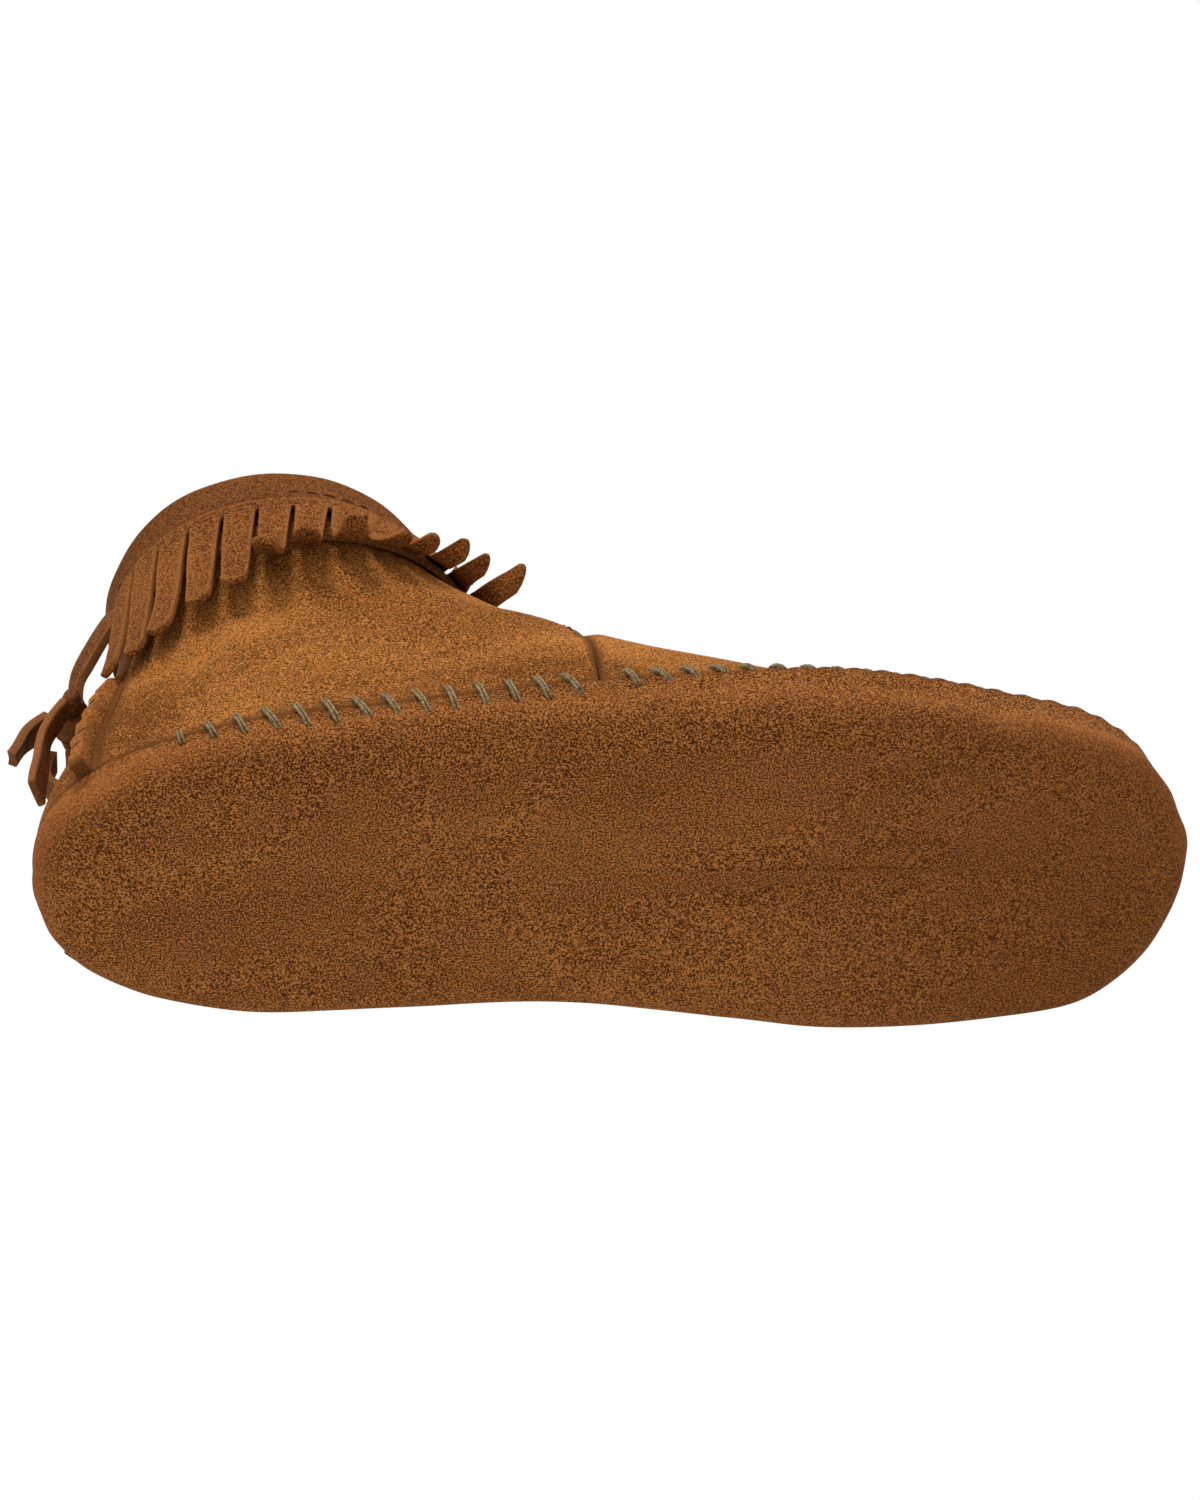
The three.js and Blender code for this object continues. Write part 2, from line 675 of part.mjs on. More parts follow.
function makeTails() {
  const under = KNOT_RISE / 2 + GAP;
  const longTop = knotCentre.clone().add(vec(-1.5, -THONG_WIDTH - LANE_GAP, -under - 1));
  const heel = backAt(KNOT_HEIGHT - LONG_TAIL_DROP).x - THONG_THICKNESS / 2 - 1.6;
  const longEnd = vec(heel - 1, longTop.y - 1.5, longTop.z - LONG_TAIL_DROP);
  const bulge = mix(longTop, longEnd, 0.5).add(vec(-2, 0, 0));
  strap('thong_tail_long', [longTop, bulge, longEnd], vec(0, 1, 0));
  const shortTop = knotCentre.clone().add(vec(-KNOT_DEPTH / 2 - GAP - 1.4, 0, -1));
  const shortEnd = shortTop.clone().add(vec(-SHORT_TAIL_REACH, 0, -SHORT_TAIL_DROP));
  const sag = mix(shortTop, shortEnd, 0.5).add(vec(-1, 0, 0.8));
  strap('thong_tail_short', [shortTop, sag, shortEnd], vec(0, 1, 0.15));
}

// The bow: a narrow loop that hangs from the knot between the long tail and the inner side.
function makeBow() {
  const top = knotCentre.clone().add(vec(0, THONG_WIDTH + LANE_GAP, -KNOT_RISE / 2 - GAP - 0.8));
  const reach = (BOW_DEPTH + THONG_THICKNESS) / 2 + GAP;
  top.x = Math.min(top.x - BOW_BEHIND_KNOT, backAt(top.z - BOW_DROP).x - reach);
  const back = [vec(-BOW_DEPTH / 2 + 1, 0, 0), vec(-BOW_DEPTH / 2, 0, -BOW_DROP * 0.6)];
  const bottom = vec(0, 0, -BOW_DROP);
  const front = [vec(BOW_DEPTH / 2, 0, -BOW_DROP * 0.6), vec(BOW_DEPTH / 2 - 1, 0, 0)];
  const points = [...back, bottom, ...front].map((offset) => offset.add(top));
  strap('thong_bow', points, vec(0, 1, 0));
}

// ---------------------------------------------------------------- thread

// A waxed thread that lies along points on the leather, each with the way that faces out.
function makeThread(name, stops) {
  const side = stops.map((_, k) => {
    const before = stops[Math.max(k - 1, 0)].point;
    const after = stops[Math.min(k + 1, stops.length - 1)].point;
    return after.clone().sub(before).cross(stops[k].out).setLength(THREAD / 2);
  });
  const face = (height) => stops.map(({ point, out }, k) => [-1, 1].map((way) => (
    point.clone().addScaledVector(side[k], way).addScaledVector(out, GAP + height)
  )));
  const skin = new Skin();
  skin.sheet(face(THREAD), face(0));
  add(name, skin.geometry(), new THREE.MeshStandardMaterial({ color: THREAD_OLIVE, roughness: 0.7 }));
}

// Places this far apart along the seam.
function stitchPlaces(start, end, pitch) {
  const length = outline.getLength() * Math.abs(end - start);
  return spread(start, end, Math.max(Math.round(length / pitch), 2));
}

// Slanted stitches over the seam, from the upper to the wall of the bottom piece.
function seamStitches(start, end) {
  const slant = (STITCH_PITCH * 0.3) / outline.getLength();
  return stitchPlaces(start, end, STITCH_PITCH).flatMap((t) => {
    const high = clearShare(t - slant, STITCH_RISE);
    const foot = seamPoint(t + slant);
    const { point, inward } = wallAt(t + slant);
    const wall = point.setZ(EDGE_RADIUS);
    const low = mix(foot, wall, STITCH_FALL / foot.distanceTo(wall));
    const out = inward.negate();
    const seam = (place) => ({ point: seamPoint(place), out: upperNormal(place, 0).add(out).normalize() });
    return [
      { point: upper(t - slant, high), out: upperNormal(t - slant, high) },
      seam(t),
      { point: low, out },
      seam(t + 1.7 * slant),
    ];
  });
}

// Stitches over the tips of the two leaves of a turned-out back seam.
function backSeamStitches(edge) {
  const lowest = SEAM_HEIGHT_HEEL + STITCH_RISE + GAP;
  const count = Math.max(Math.round((flangeFull - lowest) / BACK_STITCH_PITCH), 2);
  return spread(lowest, flangeFull, count).flatMap((z) => [-1, 1].map((way) => {
    const share = shareAtHeight(edge, z + way * BACK_STITCH_SLANT);
    const place = edge + stepAlong(edge, way * SUEDE * LEAF_SHARE);
    return { point: upper(place, share, flangeHeight(z)), out: upperNormal(edge, share) };
  }));
}

// A wavy row of stitches round the rim, drop millimetres below it and raised off the leather.
function rimRow(drop, raise, startAngle) {
  const count = Math.round((2 * (Math.PI - startAngle) * RIM_RADIUS) / ROW_STITCH_PITCH) * 2;
  return spread(startAngle, 2 * Math.PI - startAngle, count).map((angle, k) => {
    const t = ribAtAngle(angle);
    const share = shareBelowRim(t, drop + (k % 2 === 0 ? -0.4 : 0.4));
    return { point: upper(t, share, raise), out: upperNormal(t, share) };
  });
}

// Stitches along the quarter's front edge, just behind it.
function lapStitches() {
  return stitchPlaces(lapOuter + LAP_STITCH_SHARE, lapInner - LAP_STITCH_SHARE, STITCH_PITCH).map((t, k) => {
    const share = lapShare(t) + clearShare(t, k % 2 === 0 ? 2 : 3.2);
    return { point: upper(t, share), out: upperNormal(t, share) };
  });
}

function makeThreads() {
  makeThread('thread_plug', seamStitches(lapOuter + 1.5 * CORNER_SHARE, lapInner - 1.5 * CORNER_SHARE));
  makeThread('thread_side_outer', seamStitches(backOuter + EDGE_SHARE, lapOuter - CORNER_SHARE));
  makeThread('thread_side_inner', seamStitches(lapInner + CORNER_SHARE, backInner - EDGE_SHARE));
  makeThread('thread_back_outer', backSeamStitches(backOuter));
  makeThread('thread_back_inner', backSeamStitches(backInner));
  makeThread('thread_collar', rimRow(BINDING_DEPTH - 2.5, COLLAR_GAP + BINDING, degToRad(2)));
  const fringeStart = degToRad(FRINGE_BACK_ANGLE + 2);
  const fringeFace = headingFace(FRINGE_ROW) + 2 * MITRE;
  makeThread('thread_fringe', rimRow(FRINGE_DROP + FRINGE_ROW, fringeFace, fringeStart));
  makeThread('thread_lap', lapStitches());
}

makeBottom();
makeFootbed();
makePlug();
makeQuarter();
makeBackPanel();
makeCollar();
makeFringe();
makeThongRun();
makeKnot();
makeStrand('thong_strand_outer', -1);
makeStrand('thong_strand_inner', 1);
makeTails();
makeBow();
makeThreads();

export default moccasin;
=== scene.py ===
"""Looks of a right-foot ankle moccasin: napped suede, hand stitches, a fringed collar and a thong.

Every shape is built in millimetres on the same foot surface as the model, with +X to the toe,
+Y to the inner side of the foot and +Z up, and is turned into metres when its mesh is made.
"""

from __future__ import annotations

import logging
import math
from dataclasses import dataclass, field
from enum import Enum
from typing import Sequence

import bpy
import numpy as np
from mathutils import Matrix, Vector

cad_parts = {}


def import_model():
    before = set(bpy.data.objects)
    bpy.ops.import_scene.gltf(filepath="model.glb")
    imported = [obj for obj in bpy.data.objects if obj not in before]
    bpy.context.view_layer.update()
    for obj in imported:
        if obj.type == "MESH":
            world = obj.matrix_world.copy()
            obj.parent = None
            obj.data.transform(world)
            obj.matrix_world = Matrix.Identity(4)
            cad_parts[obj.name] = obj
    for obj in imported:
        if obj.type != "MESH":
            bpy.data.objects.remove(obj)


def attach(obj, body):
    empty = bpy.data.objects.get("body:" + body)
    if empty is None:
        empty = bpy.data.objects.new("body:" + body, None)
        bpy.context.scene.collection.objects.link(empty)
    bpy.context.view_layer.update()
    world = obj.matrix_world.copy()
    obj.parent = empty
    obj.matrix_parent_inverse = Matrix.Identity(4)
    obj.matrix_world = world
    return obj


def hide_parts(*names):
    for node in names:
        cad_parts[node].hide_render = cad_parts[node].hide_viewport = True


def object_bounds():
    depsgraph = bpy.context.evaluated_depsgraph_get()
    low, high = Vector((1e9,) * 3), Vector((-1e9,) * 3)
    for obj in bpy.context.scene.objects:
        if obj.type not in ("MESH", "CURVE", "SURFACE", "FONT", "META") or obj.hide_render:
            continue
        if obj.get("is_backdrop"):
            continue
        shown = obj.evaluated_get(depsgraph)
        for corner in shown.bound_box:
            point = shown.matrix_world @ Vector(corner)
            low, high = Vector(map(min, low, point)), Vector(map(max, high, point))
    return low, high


LOG = logging.getLogger("moccasin")

MM = 0.001
Colour = tuple[float, float, float]
Keys = Sequence[tuple[float, float]]
Numbers = np.ndarray | float
HEART = np.array([0.86, 0.0, 0.0])


class Body(Enum):
    """The bodies that a piece can ride on."""

    SHOE = "shoe"
    TAIL_LONG = "tail_long"
    TAIL_SHORT = "tail_short"
    BOW = "bow"


class Slot(Enum):
    """The material slots of the record."""

    UPPER = "upper_suede"
    SOLE = "sole_suede"
    TRIM = "trim_suede"
    THONG = "thong_suede"
    INSOLE = "insole_suede"
    FOAM = "foam"
    THREAD = "waxed_thread"


class Side(Enum):
    """The outer and inner sides of the foot, as the sign of Y."""

    OUTER = -1
    INNER = 1


# ------------------------------------------------------------------ small helpers


def smoothstep(value: np.ndarray | float, low: float, high: float) -> np.ndarray | float:
    """A smooth rise from 0 at low to 1 at high."""
    share = np.clip((np.asarray(value, float) - low) / (high - low), 0, 1)
    return share * share * (3 - 2 * share)


def lerp(start: Numbers, end: Numbers, share: Numbers) -> Numbers:
    """The value a share of the way from start to end."""
    return start + (end - start) * share


def keyed(place: np.ndarray | float, keys: Keys) -> np.ndarray:
    """A smooth value through keys.

    Args:
        place: where to read the value.
        keys: pairs of place and value, in rising order of place.

    Returns:
        The value at each place.
    """
    ats = np.array([at for at, _ in keys])
    values = np.array([value for _, value in keys])
    place = np.asarray(place, float)
    after = np.clip(np.searchsorted(ats, place, side="left"), 1, len(keys) - 1)
    share = np.clip((place - ats[after - 1]) / (ats[after] - ats[after - 1]), 0, 1)
    return lerp(values[after - 1], values[after], share * share * (3 - 2 * share))


def unit(vectors: np.ndarray) -> np.ndarray:
    """Vectors of length one in the same directions."""
    return vectors / np.maximum(np.linalg.norm(vectors, axis=-1, keepdims=True), 1e-9)


def colour(red: int, green: int, blue: int) -> Colour:
    """A linear colour from three display values of 0 to 255."""
    shares = [value / 255 for value in (red, green, blue)]
    return tuple(s / 12.92 if s <= 0.04045 else ((s + 0.055) / 1.055) ** 2.4 for s in shares)


@dataclass(frozen=True)
class Ripple:
    """A smooth random ripple in space, for the way that leather never lies quite flat."""

    size: float
    seed: int
    waves: int = 14

    def at(self, points: np.ndarray) -> np.ndarray:
        """The height of the ripple at points.

        Args:
            points: points in millimetres.

        Returns:
            Heights that mostly lie between -1 and 1.
        """
        draw = np.random.default_rng(self.seed)
        ways = unit(draw.normal(size=(self.waves, 3)))
        steps = 2 * math.pi / (self.size * draw.uniform(0.7, 1.8, self.waves))
        phases = draw.uniform(0, 2 * math.pi, self.waves)
        total = sum(np.sin(points @ way * step + phase) for way, step, phase in zip(ways, steps, phases))
        return total / math.sqrt(self.waves / 2) * 0.6


# ------------------------------------------------------------------ meshes


class Skin:
    """Collects the faces of one piece from grids of points, in millimetres."""

    def __init__(self) -> None:
        """Starts an empty skin."""
        self.points: list[np.ndarray] = []
        self.faces: list[list[int]] = []
        # The first mark lightens real wear and raw edges and also paints highlights; the second paints shade
        # into seams, creases and hollows.
        self.marks: dict[str, list[np.ndarray]] = {"worn": [], "painted_shade": []}
        self.count = 0

    def _add(self, grid: np.ndarray, marks: dict[str, np.ndarray]) -> np.ndarray:
        """Adds a grid of points.

        Args:
            grid: points in rows and columns.
            marks: values of the marks, for each point or for all.

        Returns:
            The points' numbers, in the same layout.
        """
        flat = grid.reshape(-1, 3)
        numbers = self.count + np.arange(len(flat)).reshape(grid.shape[:-1])
        self.points.append(flat)
        for name, values in self.marks.items():
            given = marks.get(name, 0.0)
            values.append(np.broadcast_to(given, grid.shape[:-1]).reshape(-1).astype(float))
        self.count += len(flat)
        return numbers

    def _quads(self, *corners: np.ndarray) -> None:
        """Adds one face for each set of four corners."""
        self.faces.extend(np.stack(corners, -1).reshape(-1, 4).tolist())

    def sheet(
        self,
        front: np.ndarray,
        back: np.ndarray,
        closed: bool = False,
        present: np.ndarray | None = None,
        open_low: bool = False,
        marks: dict[str, np.ndarray] | None = None,
    ) -> tuple[np.ndarray, np.ndarray]:
        """Adds the two faces and the cut edges of a leather sheet.

        Args:
            front: points of the outer face, as columns of rows.
            back: points of the inner face, in the same layout.
            closed: whether the last column joins the first.
            present: which cells are leather.
            open_low: whether the edge along row 0 is left for a cap.
            marks: values for each point, such as how much wear, painted highlight and painted shade it
                carries.

        Returns:
            The numbers of the front and the back points.
        """
        marks = marks or {}
        columns, rows = front.shape[:2]
        f, b = self._add(front, marks), self._add(back, marks)
        cells = columns if closed else columns - 1
        filled = np.ones((cells, rows - 1), bool) if present is None else present
        left, right = np.roll(filled, 1, 0), np.roll(filled, -1, 0)
        if not closed:
            left[0], right[-1] = False, False
        low, high = np.zeros_like(filled), np.zeros_like(filled)
        low[:, 1:], high[:, :-1] = filled[:, :-1], filled[:, 1:]
        i, j = np.nonzero(filled)
        k = (i + 1) % columns
        self._quads(f[i, j], f[k, j], f[k, j + 1], f[i, j + 1])
        self._quads(b[i, j], b[i, j + 1], b[k, j + 1], b[k, j])
        i, j = np.nonzero(filled & ~left)
        self._quads(f[i, j], f[i, j + 1], b[i, j + 1], b[i, j])
        i, j = np.nonzero(filled & ~right)
        k = (i + 1) % columns
        self._quads(f[k, j], b[k, j], b[k, j + 1], f[k, j + 1])
        i, j = np.nonzero(filled & ~low)
        if open_low:
            i, j = i[j > 0], j[j > 0]
        k = (i + 1) % columns
        self._quads(f[i, j], b[i, j], b[k, j], f[k, j])
        i, j = np.nonzero(filled & ~high)
        k = (i + 1) % columns
        self._quads(f[i, j + 1], f[k, j + 1], b[k, j + 1], b[i, j + 1])
        return f, b

    def cap(self, ring: np.ndarray, flipped: bool) -> None:
        """Closes a ring of points with one face."""
        numbers = ring.tolist()
        self.faces.append(numbers[::-1] if flipped else numbers)

    def _volume(self, points: np.ndarray) -> float:
        """Six times the signed volume inside the faces.

        Args:
            points: every point of the skin.

        Returns:
            The volume, which is below zero where the faces point inwards.
        """
        quads = np.array([face for face in self.faces if len(face) == 4])
        a, b, c, d = (points[quads[:, k]] for k in range(4))
        return float(np.einsum("ij,ij->", a, np.cross(b, c)) + np.einsum("ij,ij->", a, np.cross(c, d)))

    def build(self, name: str, edge: float = 0.0) -> bpy.types.Object:
        """Makes the piece.

        Args:
            name: the piece's name.
            edge: the radius of its rounded cut edges, in millimetres.

        Returns:
            The object, with its place in its mesh, in metres.
        """
        points = np.concatenate(self.points)
        if self._volume(points) < 0:
            self.faces = [face[::-1] for face in self.faces]
        used = np.unique(np.concatenate([np.array(face) for face in self.faces]))
        renumber = np.full(len(points), -1)
        renumber[used] = np.arange(len(used))
        mesh = bpy.data.meshes.new(name)
        mesh.from_pydata((points[used] * MM).tolist(), [], [renumber[face].tolist() for face in self.faces])
        for mark, values in self.marks.items():
            layer = mesh.attributes.new(mark, "FLOAT", "POINT")
            layer.data.foreach_set("value", np.concatenate(values)[used])
        mesh.shade_smooth()
        piece = bpy.data.objects.new(name, mesh)
        bpy.context.scene.collection.objects.link(piece)
        if edge > 0:
            bevel = piece.modifiers.new("edges", "BEVEL")
            bevel.width = edge * MM
            bevel.segments = 2
            bevel.limit_method = "ANGLE"
            bevel.angle_limit = math.radians(55)
            bevel.use_clamp_overlap = True
            settle(piece)
        return piece


def settle(piece: bpy.types.Object) -> None:
    """Turns a piece and its modifiers into a plain mesh.

    Args:
        piece: the piece, which keeps its name.
    """
    graph = bpy.context.evaluated_depsgraph_get()
    mesh = bpy.data.meshes.new_from_object(piece.evaluated_get(graph))
    piece.modifiers.clear()
    old, piece.data = piece.data, mesh
    mesh.name = piece.name
    bpy.data.meshes.remove(old)


def place(
    piece: bpy.types.Object,
    finish: bpy.types.Material,
    slot: Slot,
    nodes: Sequence[str],
    body: Body = Body.SHOE,
) -> bpy.types.Object:
    """Dresses a finished piece and ties it to the model.

    Args:
        piece: the piece.
        finish: its material.
        slot: the record's slot that the material stands for; not used.
        nodes: the model's nodes that the piece stands for.
        body: the body that it rides on.

    Returns:
        The piece.
    """
    piece.data.materials.clear()
    piece.data.materials.append(finish)
    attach(piece, body.value)
    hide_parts(*nodes)
    LOG.info("%s: %d faces on %s", piece.name, len(piece.data.polygons), body.value)
    return piece


# ------------------------------------------------------------------ the foot's surfaces


@dataclass
class Last:
    """The foot form that every piece lies on, with the model's own sizes in millimetres."""

    length: float = 256.0
    heel: tuple[float, float] = (35.5, 36.5)
    waist: tuple[float, float] = (43.0, 36.0)
    ball: tuple[float, float] = (42.0, 45.0)
    toe: tuple[float, float] = (29.5, 38.0)
    suede: float = 1.6
    gap: float = 0.3
    seam_heights: tuple[float, float] = (13.0, 22.0)
    seam_insets: tuple[float, float] = (0.6, 3.5)
    edge_radius: float = 9.0
    rim_height: float = 111.0
    rim_radius: float = 37.4
    rim_x: float = -71.0
    rim_spread: float = 1.6
    lap_start_x: float = -4.0
    lap_crown_x: float = -14.0
    panel_share: float = 0.045
    lower_rise: Keys = ((0, 20), (0.41, 26), (0.73, 19.5), (0.89, 15.5), (1, 12))
    lower_lean: Keys = ((0, -1), (0.41, -1), (0.73, 3), (0.89, 26), (1, 68))
    upper_drop: Keys = ((0, 53), (0.41, 46), (0.73, 54), (0.89, 63), (1, 66))
    upper_lean: Keys = ((0, -6), (0.41, -3), (0.73, 4), (0.89, 9), (1, 12))
    side_pull: float = 0.5
    front_pull: float = 2.0
    fine: int = 400

    def __post_init__(self) -> None:
        """Traces the outline finely, by the length along it."""
        (ho, hi), (wo, wi) = self.heel, self.waist
        (bo, bi), (to, ti) = self.ball, self.toe
        shape = [
            (-0.498, 0), (-0.482, -0.4 * ho), (-0.435, -0.72 * ho), (-0.32, -ho),
            (-0.18, -0.5 * (ho + wo)), (0, -wo), (0.2, -bo), (0.34, -0.5 * (bo + to)),
            (0.425, -to), (0.478, -0.6 * to), (0.5, 0.06 * ti), (0.48, 0.58 * ti),
            (0.425, ti), (0.33, 0.5 * (bi + ti) + 2), (0.2, bi), (0.08, 0.5 * (bi + wi)),
            (-0.05, wi), (-0.2, 0.5 * (hi + wi) + 0.6), (-0.33, hi), (-0.435, 0.76 * hi),
            (-0.482, 0.44 * hi),
        ]
        knots = np.array([(share * self.length, y) for share, y in shape])
        before, after, later = (np.roll(knots, shift, 0) for shift in (1, -1, -2))
        d0, d1, d2 = (
            np.linalg.norm(b - a, axis=1, keepdims=True) ** 0.5
            for a, b in ((before, knots), (knots, after), (after, later))
        )
        start = ((knots - before) / d0 - (after - before) / (d0 + d1) + (after - knots) / d1) * d1
        end = ((after - knots) / d1 - (later - knots) / (d1 + d2) + (later - after) / d2) * d1
        u = (np.arange(self.fine) / self.fine)[None, :, None]
        a, b, s, e = (part[:, None, :] for part in (knots, after, start, end))
        curve = a + s * u + (-3 * a + 3 * b - 2 * s - e) * u**2 + (2 * a - 2 * b + s + e) * u**3
        curve = curve.reshape(-1, 2)
        self._curve = np.vstack([curve, curve[:1]])
        steps = np.linalg.norm(np.diff(self._curve, axis=0), axis=1)
        self.girth = float(steps.sum())
        self._run = np.concatenate([[0], np.cumsum(steps)]) / self.girth
        along = unit(np.roll(curve, -1, 0) - np.roll(curve, 1, 0))
        self._along = np.vstack([along, along[:1]])

    def wall(self, t: np.ndarray) -> tuple[np.ndarray, np.ndarray]:
        """The widest line of the wall.

        Args:
            t: shares of the way round, with 0 at the back of the heel and 0.5 at the toe.

        Returns:
            The points and the directions that lead inwards, both level.
        """
        t = np.mod(t, 1)
        x, y = (np.interp(t, self._run, self._curve[:, k]) for k in range(2))
        ax, ay = (np.interp(t, self._run, self._along[:, k]) for k in range(2))
        zero = np.zeros_like(x)
        return np.stack([x, y, zero], -1), unit(np.stack([-ay, ax, zero], -1))

    def seam(self, t: np.ndarray) -> np.ndarray:
        """The seam between the upper and the bottom piece.

        Args:
            t: shares of the way round.

        Returns:
            Points of the seam.
        """
        point, inward = self.wall(t)
        share = point[..., 0] / self.length
        inset = lerp(*self.seam_insets, smoothstep(share, 0.15, 0.48))
        point = point + inward * inset[..., None]
        point[..., 2] = lerp(*self.seam_heights, smoothstep(share, -0.5, 0.5))
        return point

    def rim_angle(self, t: np.ndarray) -> np.ndarray:
        """The angle round the rim, from its back, that the rib at t runs up to.

        Args:
            t: shares of the way round.

        Returns:
            Angles in radians.
        """
        t = np.mod(t, 1)
        half = np.where(t <= 0.5, t, 1 - t)
        angle = math.pi * (1 - (1 - 2 * half) ** self.rim_spread)
        return np.where(t <= 0.5, angle, 2 * math.pi - angle)

    def rib_at_angle(self, angle: np.ndarray) -> np.ndarray:
        """The t whose rib ends at this angle round the rim.

        Args:
            angle: angles round the rim, in radians.

        Returns:
            Shares of the way round.
        """
        angle = np.asarray(angle, float)
        half = np.minimum(angle, 2 * math.pi - angle)
        t = (1 - (1 - half / math.pi) ** (1 / self.rim_spread)) / 2
        return np.where(angle <= math.pi, t, 1 - t)

    def controls(self, t: np.ndarray) -> np.ndarray:
        """The four control points of each rib.

        Args:
            t: shares of the way round.

        Returns:
            The foot, lower, upper and top points of every rib, in that order.
        """
        angle = self.rim_angle(t)
        front = np.minimum(angle, 2 * math.pi - angle) / math.pi
        radial = np.stack([-np.cos(angle), -np.sin(angle), np.zeros_like(angle)], -1)
        top = radial * self.rim_radius + np.array([self.rim_x, 0, self.rim_height])
        foot = self.seam(t)
        _, inward = self.wall(t)
        toward = (top - foot) * np.array([1, 1, 0])
        distance = np.linalg.norm(toward, axis=-1)
        pull = np.minimum(distance / self.length, self.side_pull)
        pull = pull + self.front_pull * smoothstep(front, 0.75, 1)
        lean = unit(inward + unit(toward) * pull[..., None])
        lower = foot + lean * keyed(front, self.lower_lean)[..., None]
        lower[..., 2] += keyed(front, self.lower_rise)
        upper = top + radial * keyed(front, self.upper_lean)[..., None]
        upper[..., 2] -= keyed(front, self.upper_drop)
        return np.stack([foot, lower, upper, top])


class Ribs:
    """Curves of the upper from the seam to the rim, one for each place round the foot."""

    STEP = 1e-3
    SAMPLES = 161

    def __init__(self, last: Last, places: Sequence[float] | np.ndarray) -> None:
        """Prepares the ribs at these places.

        Args:
            last: the foot form.
            places: the shares of the way round where the ribs stand.
        """
        self.last = last
        self.t = np.asarray(places, float)
        self._here = last.controls(self.t)
        self._before = last.controls(self.t - self.STEP)
        self._after = last.controls(self.t + self.STEP)
        self._shares = np.linspace(0, 1, self.SAMPLES)
        self._line = self._bezier(self._here, self._wide(self._shares))
        steps = np.linalg.norm(np.diff(self._line, axis=1), axis=2)
        self._run = np.concatenate([np.zeros((len(self.t), 1)), np.cumsum(steps, 1)], 1)
        self.length = self._run[:, -1]

    def _wide(self, shares: np.ndarray | float) -> np.ndarray:
        """Shares as one row for each rib.

        Args:
            shares: one number, one row for all or one row for each rib.

        Returns:
            One row for each rib.
        """
        shares = np.asarray(shares, float)
        if shares.ndim < 2:
            shares = np.broadcast_to(shares, (len(self.t), shares.size if shares.ndim else 1))
        return shares

    @staticmethod
    def _bezier(controls: np.ndarray, shares: np.ndarray) -> np.ndarray:
        """Points of the curves at shares of the way up.

        Args:
            controls: the four control points of each rib.
            shares: how far up, as one row for each rib.

        Returns:
            The points, as ribs of rows.
        """
        v = shares[..., None]
        w = 1 - v
        a, b, c, d = (part[:, None, :] for part in controls)
        return w**3 * a + 3 * w * w * v * b + 3 * w * v * v * c + v**3 * d

    def frame(self, shares: np.ndarray | float) -> tuple[np.ndarray, np.ndarray, np.ndarray, np.ndarray]:
        """Points of the surface with their local directions.

        Args:
            shares: how far up the ribs, as one row for all or one for each rib.

        Returns:
            Points, outward normals, directions round the foot and directions up.
        """
        v = self._wide(shares)
        point = self._bezier(self._here, v)
        around = unit(self._bezier(self._after, v) - self._bezier(self._before, v))
        a, b, c, d = (part[:, None, :] for part in self._here)
        u, w = v[..., None], 1 - v[..., None]
        up = unit(w * w * (b - a) + 2 * w * u * (c - b) + u * u * (d - c))
        return point, unit(np.cross(around, up)), around, up

    def stretch(self, shares: np.ndarray) -> tuple[np.ndarray, np.ndarray]:
        """How many millimetres the surface moves for one whole of t and of the share up.

        Args:
            shares: how far up, as one row for each rib.

        Returns:
            Millimetres for one whole of t, and millimetres for one whole of the share.
        """
        across = self._bezier(self._after, shares) - self._bezier(self._before, shares)
        a, b, c, d = (part[:, None, :] for part in self._here)
        u, w = shares[..., None], 1 - shares[..., None]
        up = 3 * (w * w * (b - a) + 2 * w * u * (c - b) + u * u * (d - c))
        return np.linalg.norm(across, axis=-1) / (2 * self.STEP), np.linalg.norm(up, axis=-1)

    def at(self, shares: np.ndarray | float, lift: np.ndarray | float = 0.0) -> np.ndarray:
        """Points of the surface, lifted off it."""
        point, normal, _, _ = self.frame(shares)
        return point + normal * np.broadcast_to(np.asarray(lift, float), point.shape[:2])[..., None]

    def up(self, distance: np.ndarray | float) -> np.ndarray:
        """The share of the way up each rib that lies this far above the seam."""
        wanted = self._wide(distance)
        return np.stack([np.interp(w, run, self._shares) for w, run in zip(wanted, self._run)])

    def below_rim(self, distance: np.ndarray | float) -> np.ndarray:
        """The share of the way up each rib that lies this far below the rim."""
        return self.up(self.length[:, None] - self._wide(distance))

    def where_x(self, edge: np.ndarray) -> np.ndarray:
        """The share of the way up where each rib comes back to x = edge, or 0 if it starts there.

        Args:
            edge: the wanted x for each rib.

        Returns:
            One share for each rib.
        """
        beyond = self._line[..., 0] > edge[:, None]
        first = np.argmin(beyond, axis=1)
        previous = np.maximum(first - 1, 0)
        rows = np.arange(len(self.t))
        here, there = self._line[rows, previous, 0], self._line[rows, first, 0]
        share = (here - edge) / np.where(here == there, 1, here - there)
        return np.where(first == 0, 0, lerp(self._shares[previous], self._shares[first], share))

    def lap(self) -> np.ndarray:
        """The share of the way up where the quarter's front edge crosses each rib.

        Returns:
            One share for each rib, and 0 behind the edge's start.
        """
        start = self._line[:, 0, 0]
        half = self.last.length / 2
        to_toe = (start - self.last.lap_start_x) / (half - self.last.lap_start_x)
        edge = lerp(self.last.lap_start_x, self.last.lap_crown_x, smoothstep(to_toe, 0, 0.7))
        return np.where(start <= self.last.lap_start_x, 0, self.where_x(edge))


